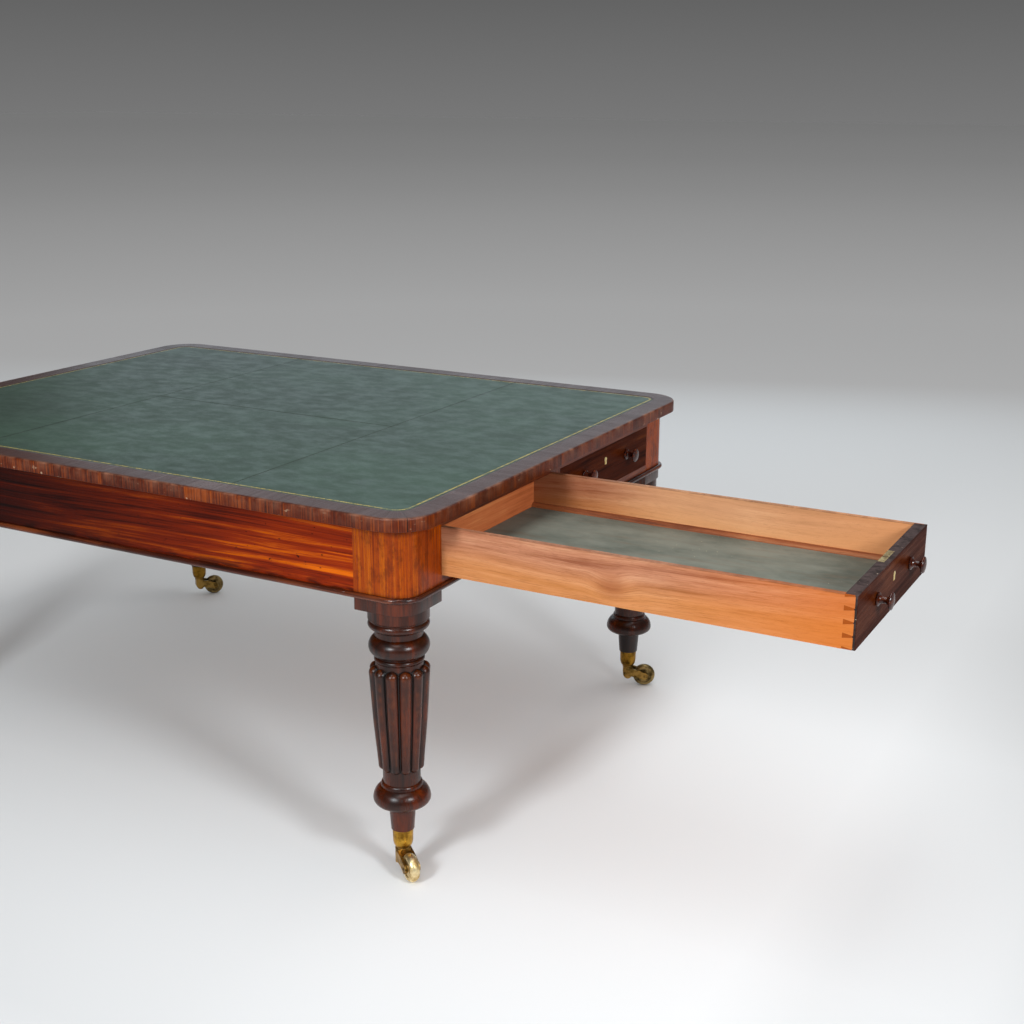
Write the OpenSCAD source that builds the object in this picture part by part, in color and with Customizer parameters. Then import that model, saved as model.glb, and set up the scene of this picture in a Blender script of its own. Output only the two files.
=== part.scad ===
// Library table with two deep drawers at one end, turned and reeded legs and
// brass castors. Millimetres, +Z up, floor at z = 0. The drawer end faces +X.
// The near drawer is drawn pulled out, the far one closed.

/* [Top] */
// Length of the top
top_l = 1600; // [1400:10:1900]
// Width of the top
top_w = 1246; // [1150:2:1400]
// Height of the writing surface above the floor
table_h = 750; // [720:1:790]
// Thickness of the top
top_t = 26; // [22:1:34]
// Radius of the top's corners in plan
top_corner_r = 84; // [70:1:110]
// Radius of the worn upper arris
top_arris_r = 4; // [2:0.5:8]
// Width of the crossbanded border
border_w = 52; // [40:1:64]
// Tongue of the panel that runs into the border's groove
tongue_l = 9; // [6:1:12]
// Thickness of that tongue
tongue_t = 8; // [6:1:10]
// Thickness of the leather
leather_t = 1.2; // [0.8:0.1:2]
// Leather seam nearest the drawer end, from the table's middle
seam_drawer_x = 355; // [250:5:450]
// Leather seam nearest the plain end, from the table's middle
seam_plain_x = -322; // [-450:1:-250]
// Seam between the two middle skins, from the table's middle
seam_mid_y = -8; // [-60:1:60]
// Hairline gap at mitres and leather seams
hairline = 0.2; // [0.1:0.1:0.5]

/* [Frieze] */
// How far the top overhangs the frieze
top_overhang = 33; // [24:1:44]
// Height of the frieze
frieze_h = 145; // [135:1:160]
// Thickness of the side and end rails
rail_t = 24; // [20:1:30]
// Width of the square corner blocks
block_w = 118; // [108:1:130]
// Radius of the blocks' outer corner
block_corner_r = 48; // [36:1:56]
// Thickness of the rail tenons
tenon_t = 10; // [8:1:12]
// Length of the rail tenons
tenon_l = 36; // [24:1:42]
// Shoulder above and below each rail tenon
tenon_shoulder = 14; // [10:1:24]
// How far the bead stands out from the frieze
bead_out = 8; // [7:0.5:12]
// Height of the bead
bead_h = 11; // [8:0.5:14]

/* [Drawer end] */
// Depth of the rails above and below the drawers, front to back
bearer_d = 64; // [50:1:80]
// Height of the rail above the drawers
top_rail_h = 23.5; // [20:0.5:28]
// Height of the rail below the drawers
bottom_rail_h = 26; // [22:1:30]
// Thickness of the upright between the drawers
divider_t = 28; // [20:1:40]
// Length of the stub tenons at the drawer end
stub_l = 12; // [8:1:16]
// Thickness of the runners and the lower cross rail
runner_t = 22; // [16:1:24]
// Width of an outer runner
runner_w = 36; // [28:1:50]
// Width of the middle runner
centre_runner_w = 96; // [80:2:140]
// Width of an outer guide
guide_w = 24; // [16:1:30]
// Height of the guides above the runners
guide_rise = 32; // [20:1:50]
// Thickness of the kickers
kicker_t = 18; // [12:1:20]
// Depth of the cross rails, front to back
cross_rail_d = 60; // [40:2:80]
// Gap behind the closed drawers
drawer_behind = 6; // [4:1:20]
// Height of the drawer stops
stop_h = 5; // [3:0.5:7]
// Length of a drawer stop, front to back
stop_l = 16; // [12:1:24]
// Width of a drawer stop
stop_w = 34; // [20:1:50]
// Side of a glue block
glue_block_w = 25; // [18:1:32]
// Length of a glue block
glue_block_l = 70; // [50:5:90]

/* [Drawers] */
// Length of a drawer, front face to back end
drawer_l = 836; // [820:1:900]
// Length of a drawer that stays in the frieze when it is pulled out
drawer_kept = 53; // [51:1:236]
// Gap at each side of a drawer
drawer_side_gap = 1; // [0.5:0.1:2]
// Gap above a drawer
drawer_top_gap = 0.9; // [0.5:0.1:2]
// Running gap under a drawer side
drawer_run = 0.3; // [0.2:0.1:0.6]
// Gap between the stops and a closed drawer front
stop_gap = 0.2; // [0.1:0.1:1]
// Thickness of a drawer front
front_t = 23; // [20:1:26]
// Wood left in front of the lapped dovetails
lap_t = 5; // [4:0.5:7]
// Thickness of a drawer side
side_t = 11; // [9:0.5:14]
// Thickness of a drawer back
back_t = 11; // [9:0.5:14]
// Thickness of a drawer bottom
bottom_t = 7; // [5:0.5:9]
// Height of the drawer bottom above the sides' lower edge
bottom_rise = 9; // [7:0.5:12]
// Depth of the groove that holds the bottom
groove_d = 4; // [3:0.5:6]
// Fit of joints that are cut to slide together
joint_fit = 0.1; // [0.05:0.05:0.2]
// Number of dovetails at the front of a side
front_tails = 4; // [3:1:5]
// Number of dovetails at the back of a side
back_tails = 3; // [2:1:4]
// Width of a pin at its narrow end
pin_w = 3; // [2:0.5:6]
// Slope of the dovetails in degrees
tail_slope = 10; // [6:1:13]
// Radius of the quarter-round slips
slip_r = 10; // [6:1:14]
// Thickness of the drawer lining
lining_t = 0.8; // [0.4:0.1:1.5]

/* [Knobs and locks] */
// Distance of each knob from its drawer's middle
knob_offset = 110; // [80:1:150]
// Height of the knobs above the drawer's lower edge
knob_rise = 53; // [40:1:60]
// Knob projection from the drawer front
knob_out = 29; // [22:1:36]
// Radius of the knob's flange against the drawer
knob_flange_r = 12.5; // [9:0.5:14]
// Radius of the knob's neck
knob_neck_r = 6; // [5:0.5:8]
// Radius of the knob's disc
knob_disc_r = 15.5; // [12:0.5:18]
// Radius of the knob's dowel
knob_dowel_r = 5; // [4:0.5:6]
// Lock pin below the drawer's top edge
keyhole_drop = 30; // [26:1:34]
// Radius of the keyhole's round part
keyhole_r = 2.6; // [2:0.1:3]
// Length of the keyhole below its middle
keyhole_l = 8; // [6:0.5:9]
// Width of the keyhole's slot
keyhole_w = 3; // [2:0.1:4]
// Width of the brass round the keyhole
escutcheon_rim = 3; // [2:0.5:4]
// Depth of the escutcheon
escutcheon_t = 3; // [2:0.5:4]
// How far the escutcheon stands out
escutcheon_proud = 0.4; // [0.2:0.1:1]
// Width of the lock case
lock_w = 58; // [48:1:70]
// Height of the lock case
lock_h = 44; // [42:1:50]
// Depth of the lock case
lock_d = 12; // [10:0.5:14]
// Wall of the lock case
lock_wall = 1.8; // [1.2:0.1:2]
// Length of the lock's edge plate beyond the case, at each end
selvedge_out = 6; // [3:1:10]
// Width of the lock bolt
bolt_w = 28; // [20:1:36]
// Thickness of the lock bolt
bolt_t = 5; // [4:0.5:6]
// Length of the lock bolt
bolt_l = 22; // [16:1:24]
// Throw of the lock bolt
bolt_throw = 7; // [5:0.5:8]
// Clearance round the lock bolt
bolt_fit = 0.4; // [0.2:0.1:0.6]

/* [Legs] */
// Height of the square pad under the frieze
pad_h = 25; // [18:1:32]
// Radius of the round collar under the pad
collar_r = 58.5; // [50:0.5:59]
// Height of that collar
collar_h = 21; // [16:0.5:26]
// Height of the cove under the collar
collar_cove_h = 4; // [3:0.5:5]
// Depth of that cove
collar_cove_d = 3; // [2:0.5:4]
// Height of the ring and the cove under the collar
collar_ring_h = 22; // [18:0.5:26]
// Radius of the waist over the upper bulge
waist_r = 46; // [42:0.5:48]
// Height of the waist
waist_h = 13.5; // [10:0.5:18]
// Depth of the fine turned lines
quirk = 1; // [0.5:0.1:1.5]
// Radius of the upper bulge
upper_bulge_r = 58; // [54:0.5:62]
// Height of the upper bulge
upper_bulge_h = 39.5; // [36:0.5:46]
// Height of the gap under the upper bulge
cove_h = 1.5; // [1:0.5:4]
// Depth of that gap
cove_d = 2; // [1:0.5:3]
// Radius of the small ring over the reeds
torus_r = 48; // [47:0.5:52]
// Height of that ring
torus_h = 10; // [7:0.5:12]
// Radius of the band that the reed tops run into
reed_neck_r = 46; // [45:0.5:47]
// Height of that band over the reed tops
reed_neck_h = 8; // [4:0.5:12]
// Number of reeds
reeds = 12; // [8:1:16]
// Radius over the reeds at their top
reed_top_r = 58.8; // [54:0.2:62]
// Radius over the reeds at their foot
reed_foot_r = 44.5; // [40:0.5:50]
// Height above the floor at which the reeds' feet start to round in
reed_foot_z = 234; // [225:1:245]
// Radius of the plain neck under the reeds
lower_neck_r = 36.4; // [32:0.2:38]
// Radius of the ring on the lower bulge
ring_r = 41; // [39.5:0.5:43]
// Height of that ring
ring_h = 9.5; // [7:0.5:12]
// Radius of the lower bulge
lower_bulge_r = 56; // [50:0.5:60]
// Height above the floor at which the lower bulge is widest
lower_bulge_z = 164; // [155:1:172]
// Height of the lower bulge over its widest place
lower_bulge_top_h = 24; // [20:0.5:27]
// Height of the lower bulge under its widest place
lower_bulge_foot_h = 14.5; // [10:0.5:20]
// Radius of the lower bulge's underside where it starts to swell
lower_bulge_end_r = 42; // [34:1:46]
// Radius at the top of the ankle
ankle_top_r = 26.2; // [24:0.2:30]
// Radius at the bottom of the ankle
ankle_foot_r = 22.6; // [21:0.2:24]
// Radius of the round tenon in the corner block
spigot_r = 22; // [16:1:28]
// Length of that tenon
spigot_l = 64; // [40:1:80]

/* [Castors] */
// Radius of the wheel
wheel_r = 28; // [25:0.5:31]
// Width of the wheel
wheel_w = 19; // [15:0.5:22]
// Radius of the wheel at its edges
wheel_edge_r = 23.4; // [20:0.2:27]
// Radius of the axle pin
axle_r = 3; // [2:0.25:4]
// Running clearance of bearings
running_fit = 0.08; // [0.02:0.01:0.1]
// Distance of the axle behind the swivel
trail = 42; // [40:0.5:48]
// Height of the cup's underside above the floor
cup_z = 55; // [52:0.5:58]
// Height of the cup
cup_h = 40; // [34:1:46]
// Radius of the cup's lip
cup_top_r = 21.3; // [20:0.1:24]
// How far the lip stands out
cup_lip = 1; // [0.5:0.1:1.5]
// Height of the lip
cup_lip_h = 2; // [1:0.5:4]
// Radius of the cup over its round foot
cup_belly_r = 19.7; // [18:0.1:21]
// Height of the round foot
cup_round_h = 17; // [12:0.5:24]
// Radius of the cup's underside
cup_foot_r = 13.5; // [13:0.1:16]
// Wall of the cup
cup_wall = 2.2; // [1.5:0.1:3]
// Floor of the cup
cup_floor = 4; // [3:0.5:6]
// Radius of the swivel pin
swivel_r = 5; // [4:0.5:6]
// Radius of the flange under the cup
flange_r = 13.5; // [11:0.5:14]
// Gap between the flange and the cup
swivel_gap = 0.3; // [0.2:0.1:0.6]
// Thickness of each horn arm
arm_t = 5.5; // [4:0.5:8]
// Gap between the wheel and each arm
arm_gap = 0.8; // [0.5:0.1:1.5]
// Radius of the eye round the axle
eye_r = 9.5; // [7:0.5:11]
// Half the width of a horn arm at the swivel
arm_root_w = 10.5; // [8:0.5:12]
// Swivel angle of the near castor at the drawer end
drawer_near_swivel = -37; // [-180:1:180]
// Swivel angle of the far castor at the drawer end
drawer_far_swivel = 27; // [-180:1:180]
// Swivel angle of the near castor at the plain end
plain_near_swivel = -75; // [-180:1:180]
// Swivel angle of the far castor at the plain end
plain_far_swivel = 51; // [-180:1:180]

/* [Hidden] */
$fn = 48;

mahogany = "#6b2a14";
veneer = "#8a3a17";
cedar = "#b9662f";
pine = "#b98a55";
leather_green = "#2f4a3c";
brass = "#a98a3e";

// Table and frieze outlines, from the table's middle
slab_z = table_h - top_t;
frieze_z = slab_z - frieze_h;
frame_x = top_l / 2 - top_overhang;
frame_y = top_w / 2 - top_overhang;
block_in_x = frame_x - block_w;
block_in_y = frame_y - block_w;
inner_x = frame_x - rail_t;
inner_y = frame_y - rail_t;
drawer_travel = drawer_l - drawer_kept;
// The origin lies on the floor under the middle of the table with its near drawer out
mid_x = -(drawer_travel - top_overhang + knob_out) / 2;

// Drawer bay
runner_z = frieze_z + bottom_rail_h;
bay_h = frieze_h - top_rail_h - bottom_rail_h;
kicker_z = runner_z + bay_h;
drawer_w = block_in_y - divider_t / 2 - 2 * drawer_side_gap;
drawer_h = bay_h - drawer_run - drawer_top_gap;
drawer_z = runner_z + drawer_run;
drawer_y = divider_t / 2 + drawer_side_gap + drawer_w / 2;
cross_x = frame_x - drawer_l - drawer_behind;
floor_z = bottom_rise + bottom_t;
tail_l = front_t - lap_t;
inside_w = drawer_w - 2 * side_t;
key_z = drawer_h - keyhole_drop;
case_wall_x = -front_t + lock_d;
bolt_x = case_wall_x - (lock_d + bolt_t) / 2;
bolt_z = drawer_h - bolt_l;
bolt_spare = 2;
tenon_share = 0.5;
near = -1;
far = 1;

// Legs and castors
leg_x = frame_x - block_w / 2;
leg_y = frame_y - block_w / 2;
collar_z = frieze_z - pad_h - collar_h;
waist_z = collar_z - collar_ring_h;
upper_bulge_z = waist_z - waist_h - upper_bulge_h / 2;
cove_z = upper_bulge_z - upper_bulge_h / 2 - cove_h;
reed_spread = sin(180 / reeds);
reed_overlap = 1.03;
reed_top_centre = reed_top_r / (1 + reed_spread);
reed_foot_centre = reed_foot_r / (1 + reed_spread);
reed_top_w = reed_top_centre * reed_spread * reed_overlap;
reed_foot_w = reed_foot_centre * reed_spread * reed_overlap;
reed_top_z = cove_z - torus_h - reed_neck_h - reed_top_w;
lower_bulge_foot_z = lower_bulge_z - lower_bulge_foot_h;
ring_z = lower_bulge_z + lower_bulge_top_h;
ankle_gap = 5;
ankle_z = lower_bulge_foot_z - ankle_gap;
cup_top_z = cup_z + cup_h;
cup_body_r = cup_top_r - cup_lip;
tip_gap = 4;
tip_z = cup_z + cup_floor + tip_gap;
arm_y = wheel_w / 2 + arm_gap;
horn_w = 2 * (arm_y + arm_t);

// Points of an arc, from angle a0 to a1
function arc(x, z, r, a0, a1, steps) =
    [for (i = [0:steps]) [x + r * cos(a0 + (a1 - a0) * i / steps), z + r * sin(a0 + (a1 - a0) * i / steps)]];
// Radius of an arc from its chord and its rise
function rise_radius(chord, rise) = (chord * chord / 4 + rise * rise) / (2 * rise);
// Point on a quadratic curve
function bend(a, b, c, t) = (1 - t) * (1 - t) * a + 2 * t * (1 - t) * b + t * t * c;
// Middles of n equal shares of the length from a to b
function spread(a, b, n) = [for (i = [0:n - 1]) a + (b - a) * (i + 0.5) / n];

// Moves the table's middle to its place beside the origin
module table() {
    translate([mid_x, 0, 0]) children();
}

// Rounded rectangle in plan, as a prism
module rounded_plate(l, w, r, t) {
    linear_extrude(t) {
        square([l - 2 * r, w], center = true);
        square([l, w - 2 * r], center = true);
        for (sx = [-1, 1], sy = [-1, 1])
            translate([sx * (l / 2 - r), sy * (w / 2 - r)]) circle(r);
    }
}

// Sweeps a profile round a rounded rectangle; the profile's x is measured outwards
// from the corner's centre, so the outline lies at x = r
module swept_outline(l, w, r) {
    for (k = [0:3]) {
        a = k % 2 == 0 ? l : w;
        b = k % 2 == 0 ? w : l;
        rotate([0, 0, 90 * k]) translate([a / 2 - r, b / 2 - r, 0]) {
            rotate([90, 0, 0]) linear_extrude(b - 2 * r) children();
            rotate_extrude(angle = 90) children();
        }
    }
}

// Cuts a swept outline into its four mitred lengths with a hairline gap between them
module mitred_lengths(l, w, r, h) {
    reach = 20;
    for (k = [0:3]) {
        a = (k % 2 == 0 ? l : w) / 2 + hairline;
        b = (k % 2 == 0 ? w : l) / 2;
        intersection() {
            swept_outline(l, w, r) children();
            rotate([0, 0, 90 * k]) linear_extrude(h)
                polygon([
                    [a - r, b - r], [a + reach, b + reach], [a + reach, -b - reach], [a - r, r - b]
                ]);
        }
    }
}

// Top
module border_profile() {
    r = top_corner_r;
    difference() {
        union() {
            translate([r - border_w, 0]) square([border_w - top_arris_r, top_t]);
            translate([r - border_w, 0]) square([border_w, top_t - top_arris_r]);
            translate([r - top_arris_r, top_t - top_arris_r]) circle(top_arris_r);
        }
        translate([r - border_w - 1, (top_t - tongue_t) / 2]) square([tongue_l + 1 + hairline, tongue_t]);
    }
}

module top_panel() {
    color(pine) table() translate([0, 0, slab_z]) {
        rounded_plate(
            top_l - 2 * border_w, top_w - 2 * border_w, top_corner_r - border_w, top_t - leather_t
        );
        translate([0, 0, (top_t - tongue_t) / 2]) rounded_plate(
            top_l - 2 * border_w + 2 * tongue_l, top_w - 2 * border_w + 2 * tongue_l,
            top_corner_r - border_w + tongue_l, tongue_t
        );
    }
}

module top_border() {
    color(mahogany) table() translate([0, 0, slab_z])
        mitred_lengths(top_l, top_w, top_corner_r, top_t) border_profile();
}

// One skin of leather between two lines across the table and two lines along it
module skin(x0, x1, y0, y1) {
    intersection() {
        rounded_plate(
            top_l - 2 * border_w - 2 * hairline, top_w - 2 * border_w - 2 * hairline,
            top_corner_r - border_w, leather_t
        );
        translate([x0 + hairline / 2, y0 + hairline / 2, 0])
            cube([x1 - x0 - hairline, y1 - y0 - hairline, leather_t]);
    }
}

module leather() {
    color(leather_green) table() translate([0, 0, table_h - leather_t]) {
        skin(-top_l / 2, seam_plain_x, -top_w / 2, top_w / 2);
        skin(seam_plain_x, seam_drawer_x, -top_w / 2, seam_mid_y);
        skin(seam_plain_x, seam_drawer_x, seam_mid_y, top_w / 2);
        skin(seam_drawer_x, top_l / 2, -top_w / 2, top_w / 2);
    }
}

// Square with one rounded corner, outwards along +x and +y
module block_plan() {
    square([block_w - block_corner_r, block_w]);
    square([block_w, block_w - block_corner_r]);
    translate([block_w - block_corner_r, block_w - block_corner_r]) circle(block_corner_r);
}

// Puts a child, drawn for the corner at +x +y, at each corner of the frame
module at_corner(sx, sy) {
    mirror([sx < 0 ? 1 : 0, 0, 0]) mirror([0, sy < 0 ? 1 : 0, 0]) children();
}

// Frieze
// Tenon along +x, with its shoulder at x = 0 and its lower edge at z = 0
module tenon(l, t, h, fit) {
    translate([-1, -t / 2 - fit, -fit]) cube([l + 1 + fit, t + 2 * fit, h + 2 * fit]);
}

// Tenon of a side or end rail, at the rail's middle in thickness
module rail_tenon(fit) {
    translate([0, 0, frieze_z + tenon_shoulder])
        tenon(tenon_l, tenon_t, frieze_h - 2 * tenon_shoulder, fit);
}

// Block at +x +y, mortised for the side rail and the leg; the child is its other mortises
module corner_block() {
    difference() {
        translate([block_in_x, block_in_y, frieze_z]) linear_extrude(frieze_h) block_plan();
        translate([leg_x, leg_y, frieze_z - 1]) cylinder(r = spigot_r, h = spigot_l + 1 + hairline);
        translate([block_in_x, frame_y - rail_t / 2, 0]) rail_tenon(joint_fit);
        children();
    }
}

// A bearer's tenon takes the middle of its height and depth, at the bearer's +y end
module bearer_tenon(z, h, fit) {
    translate([frame_x - bearer_d / 2, block_in_y, z + h * (1 - tenon_share) / 2]) rotate([0, 0, 90])
        tenon(tenon_l, bearer_d * tenon_share, h * tenon_share, fit);
}

module corner_blocks() {
    color(veneer) table() {
        for (sy = [near, far]) {
            at_corner(1, sy) corner_block() {
                bearer_tenon(frieze_z, bottom_rail_h, joint_fit);
                bearer_tenon(kicker_z, top_rail_h, joint_fit);
            }
            at_corner(-1, sy) corner_block()
                translate([frame_x - rail_t / 2, block_in_y, 0]) rotate([0, 0, 90])
                    rail_tenon(joint_fit);
        }
    }
}

// Stub tenon of a cross rail of height h, at its +y end
module cross_rail_stub(z, h, fit) {
    translate([cross_x - cross_rail_d / 2, inner_y, z + h * (1 - tenon_share) / 2]) rotate([0, 0, 90])
        tenon(stub_l, cross_rail_d * tenon_share, h * tenon_share, fit);
}

module side_rail() {
    difference() {
        union() {
            translate([-block_in_x, inner_y, frieze_z]) cube([2 * block_in_x, rail_t, frieze_h]);
            for (sx = [-1, 1])
                scale_x(sx) translate([block_in_x, frame_y - rail_t / 2, 0]) rail_tenon(0);
        }
        cross_rail_stub(runner_z - runner_t, runner_t, joint_fit);
        cross_rail_stub(kicker_z, top_rail_h, joint_fit);
    }
}

// Mirrors along x where s is negative
module scale_x(s) {
    mirror([s < 0 ? 1 : 0, 0, 0]) children();
}

// Mirrors along y where s is negative
module side_of(s) {
    mirror([0, s < 0 ? 1 : 0, 0]) children();
}

module near_side_rail() {
    color(veneer) table() side_of(near) side_rail();
}

module far_side_rail() {
    color(veneer) table() side_of(far) side_rail();
}

module plain_end_rail() {
    color(veneer) table() {
        translate([-frame_x, -block_in_y, frieze_z]) cube([rail_t, 2 * block_in_y, frieze_h]);
        for (sy = [near, far])
            side_of(sy) translate([-frame_x + rail_t / 2, block_in_y, 0]) rotate([0, 0, 90])
                rail_tenon(0);
    }
}

// Drawer end
// Stub tenons of the upright between the drawers
module divider_stubs(fit) {
    d = bearer_d * tenon_share;
    w = divider_t * tenon_share;
    for (z = [runner_z - stub_l, kicker_z - 1])
        translate([frame_x - (bearer_d + d) / 2 - fit, -w / 2 - fit, z - fit])
            cube([d + 2 * fit, w + 2 * fit, stub_l + 1 + 2 * fit]);
}

// A rail across the drawer end, over or under the drawers, with its tenons
module bearer(z, h) {
    translate([frame_x - bearer_d, -block_in_y, z]) cube([bearer_d, 2 * block_in_y, h]);
    for (sy = [near, far])
        side_of(sy) bearer_tenon(z, h, 0);
}

module drawer_top_rail() {
    color(mahogany) table() difference() {
        bearer(kicker_z, top_rail_h);
        divider_stubs(joint_fit);
        for (s = [near, far])
            translate([
                frame_x + bolt_x - 2 * bolt_fit, s * drawer_y - bolt_w / 2 - 2 * bolt_fit, kicker_z - 1
            ])
                cube([bolt_t + 4 * bolt_fit, bolt_w + 4 * bolt_fit, bolt_throw + bolt_spare + 1]);
    }
}

module drawer_bottom_rail() {
    color(mahogany) table() difference() {
        bearer(frieze_z, bottom_rail_h);
        divider_stubs(joint_fit);
    }
}

module drawer_divider() {
    color(mahogany) table() {
        translate([frame_x - bearer_d, -divider_t / 2, runner_z]) cube([bearer_d, divider_t, bay_h]);
        divider_stubs(0);
    }
}

module bead_profile() {
    r = bead_h / 2;
    translate([block_corner_r, 0]) intersection() {
        square([bead_out, bead_h]);
        union() {
            square([bead_out - r, bead_h]);
            translate([bead_out - r, r]) circle(r);
        }
    }
}

module frieze_bead() {
    color(mahogany) table() translate([0, 0, frieze_z])
        mitred_lengths(2 * frame_x, 2 * frame_y, block_corner_r, bead_h) bead_profile();
}

module lower_cross_rail() {
    color(pine) table() {
        translate([cross_x - cross_rail_d, -inner_y, runner_z - runner_t])
            cube([cross_rail_d, 2 * inner_y, runner_t]);
        for (sy = [near, far])
            side_of(sy) cross_rail_stub(runner_z - runner_t, runner_t, 0);
    }
}

module upper_cross_rail() {
    color(pine) table() {
        translate([cross_x - cross_rail_d, -inner_y, kicker_z])
            cube([cross_rail_d, 2 * inner_y, top_rail_h]);
        for (sy = [near, far])
            side_of(sy) cross_rail_stub(kicker_z, top_rail_h, 0);
    }
}

// Bar from the cross rail to the back of the drawer end rails
module bay_bar(y, w, z, h) {
    translate([cross_x, y, z]) cube([frame_x - bearer_d - cross_x, w, h]);
}

module outer_runners() {
    color(pine) table() for (sy = [near, far])
        side_of(sy) bay_bar(block_in_y - runner_w, runner_w, runner_z - runner_t, runner_t);
}

module centre_runner() {
    color(pine) table() bay_bar(-centre_runner_w / 2, centre_runner_w, runner_z - runner_t, runner_t);
}

module drawer_guides() {
    color(pine) table() {
        bay_bar(-divider_t / 2, divider_t, runner_z, guide_rise);
        for (sy = [near, far])
            side_of(sy) translate([cross_x, block_in_y, runner_z - runner_t])
                cube([block_in_x - cross_x, guide_w, runner_t + guide_rise]);
    }
}

module drawer_kickers() {
    color(pine) table() {
        bay_bar(-centre_runner_w / 2, centre_runner_w, kicker_z, kicker_t);
        for (sy = [near, far])
            side_of(sy) bay_bar(block_in_y - runner_w, runner_w, kicker_z, kicker_t);
    }
}

module drawer_stops() {
    color(pine) table() for (s = [near, far], k = [-1, 1])
        translate([
            frame_x - front_t - stop_gap - stop_l, s * drawer_y + k * knob_offset - stop_w / 2, runner_z
        ])
            cube([stop_l, stop_w, stop_h]);
}

// Triangular block rubbed into the corner under the top, against a rail at +y
module glue_block() {
    rotate([90, 0, 90]) linear_extrude(glue_block_l, center = true)
        polygon([[0, 0], [-glue_block_w, 0], [0, -glue_block_w]]);
}

module glue_blocks() {
    side_places = concat(
        spread(-block_in_x, cross_x - cross_rail_d, 2), spread(cross_x, block_in_x, 3)
    );
    color(pine) table() translate([0, 0, slab_z]) {
        for (sy = [near, far], x = side_places)
            side_of(sy) translate([x, inner_y, 0]) glue_block();
        for (y = spread(-block_in_y, block_in_y, 3))
            translate([-inner_x, y, 0]) rotate([0, 0, 90]) glue_block();
    }
}

// Legs
module turned_profile() {
    upper_end_r = waist_r - quirk;
    upper_r = rise_radius(upper_bulge_h, upper_bulge_r - upper_end_r);
    upper_a = asin(upper_bulge_h / 2 / upper_r);
    core_cover = 1;
    core_top_r = reed_top_centre * cos(180 / reeds) + core_cover;
    core_foot_r = reed_foot_centre * cos(180 / reeds) + core_cover;
    neck_top_z = cove_z - torus_h;
    ring_top_z = ring_z + ring_h;
    tip_r = cup_body_r - cup_wall - joint_fit;
    tip_foot_r = cup_foot_r - cup_wall / 2 - joint_fit;
    upper_top_z = waist_z - waist_h;
    foot_lip = 3;
    shoulder_drop = 6.5;
    shoulder_in = 2;
    cap_r = 8.5;
    cap_a = 60;
    cap_z = collar_z - collar_cove_h - cap_r * sin(cap_a);
    step = 0.125;
    polygon(concat(
        [[0, tip_z], [tip_foot_r, tip_z], [tip_r, cup_top_z]],
        [[ankle_foot_r, cup_top_z], [ankle_top_r, ankle_z]],
        [for (t = [0:step:1]) [
            bend(lower_bulge_end_r, lower_bulge_r, lower_bulge_r, t),
            bend(lower_bulge_foot_z, lower_bulge_foot_z + foot_lip, lower_bulge_z, t)
        ]],
        [for (t = [step:step:1]) [
            bend(lower_bulge_r, lower_bulge_r - shoulder_in, ring_r, t),
            bend(lower_bulge_z, ring_z - shoulder_drop, ring_z, t)
        ]],
        [[ring_r - quirk, ring_z], [ring_r - quirk, ring_z + quirk]],
        [for (t = [0:2 * step:1]) [
            bend(ring_r, ring_r, lower_neck_r + 2 * quirk, t),
            bend(ring_z + quirk, ring_top_z - 4 * quirk, ring_top_z - quirk, t)
        ]],
        [[lower_neck_r, ring_top_z], [lower_neck_r, reed_foot_z - reed_foot_w / 2]],
        [[core_foot_r, reed_foot_z], [core_top_r, reed_top_z]],
        [[reed_neck_r, reed_top_z], [reed_neck_r, neck_top_z]],
        arc(torus_r - torus_h / 2, cove_z - torus_h / 2, torus_h / 2, -60, 60, 6),
        [[waist_r - cove_d, cove_z], [waist_r - cove_d, cove_z + cove_h]],
        arc(upper_bulge_r - upper_r, upper_bulge_z, upper_r, -upper_a, upper_a, 12),
        [[waist_r - 2 * quirk, upper_top_z], [waist_r - 2 * quirk, upper_top_z + quirk]],
        [[waist_r, upper_top_z + quirk], [waist_r, waist_z - quirk]],
        [[waist_r - quirk, waist_z - quirk], [waist_r - quirk, waist_z]],
        [for (t = [0:2 * step:1]) [
            bend(waist_r + 2 * quirk, collar_r - quirk, collar_r, t),
            bend(waist_z, waist_z + foot_lip, cap_z, t)
        ]],
        arc(collar_r - cap_r, cap_z, cap_r, 0, cap_a, 4),
        [for (t = [0:4 * step:1]) [
            bend(collar_r - collar_cove_d, collar_r - collar_cove_d, collar_r, t),
            bend(collar_z - collar_cove_h, collar_z - collar_cove_h / 2, collar_z, t)
        ]],
        [[collar_r, frieze_z - pad_h], [0, frieze_z - pad_h]]
    ));
}

// One reed, a tapered round with a domed top and a rounded foot
module reed() {
    rise = reed_top_z - reed_foot_z;
    lean = atan((reed_top_centre - reed_foot_centre) / rise);
    translate([reed_foot_centre, 0, reed_foot_z]) rotate([0, lean, 0]) {
        sphere(reed_foot_w);
        cylinder(r1 = reed_foot_w, r2 = reed_top_w, h = rise / cos(lean));
        translate([0, 0, rise / cos(lean)]) sphere(reed_top_w);
    }
}

module leg(sx, sy) {
    color(mahogany) table() at_corner(sx, sy) {
        translate([block_in_x, block_in_y, frieze_z - pad_h]) linear_extrude(pad_h) block_plan();
        translate([leg_x, leg_y, 0]) {
            rotate_extrude() turned_profile();
            for (i = [0:reeds - 1])
                rotate([0, 0, 360 * (i + 0.5) / reeds]) reed();
            translate([0, 0, frieze_z - 1]) cylinder(r = spigot_r, h = spigot_l + 1);
        }
    }
}

// Castors
module castor_at(sx, sy, a) {
    table() translate([sx * leg_x, sy * leg_y, 0]) rotate([0, 0, a]) children();
}

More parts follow.
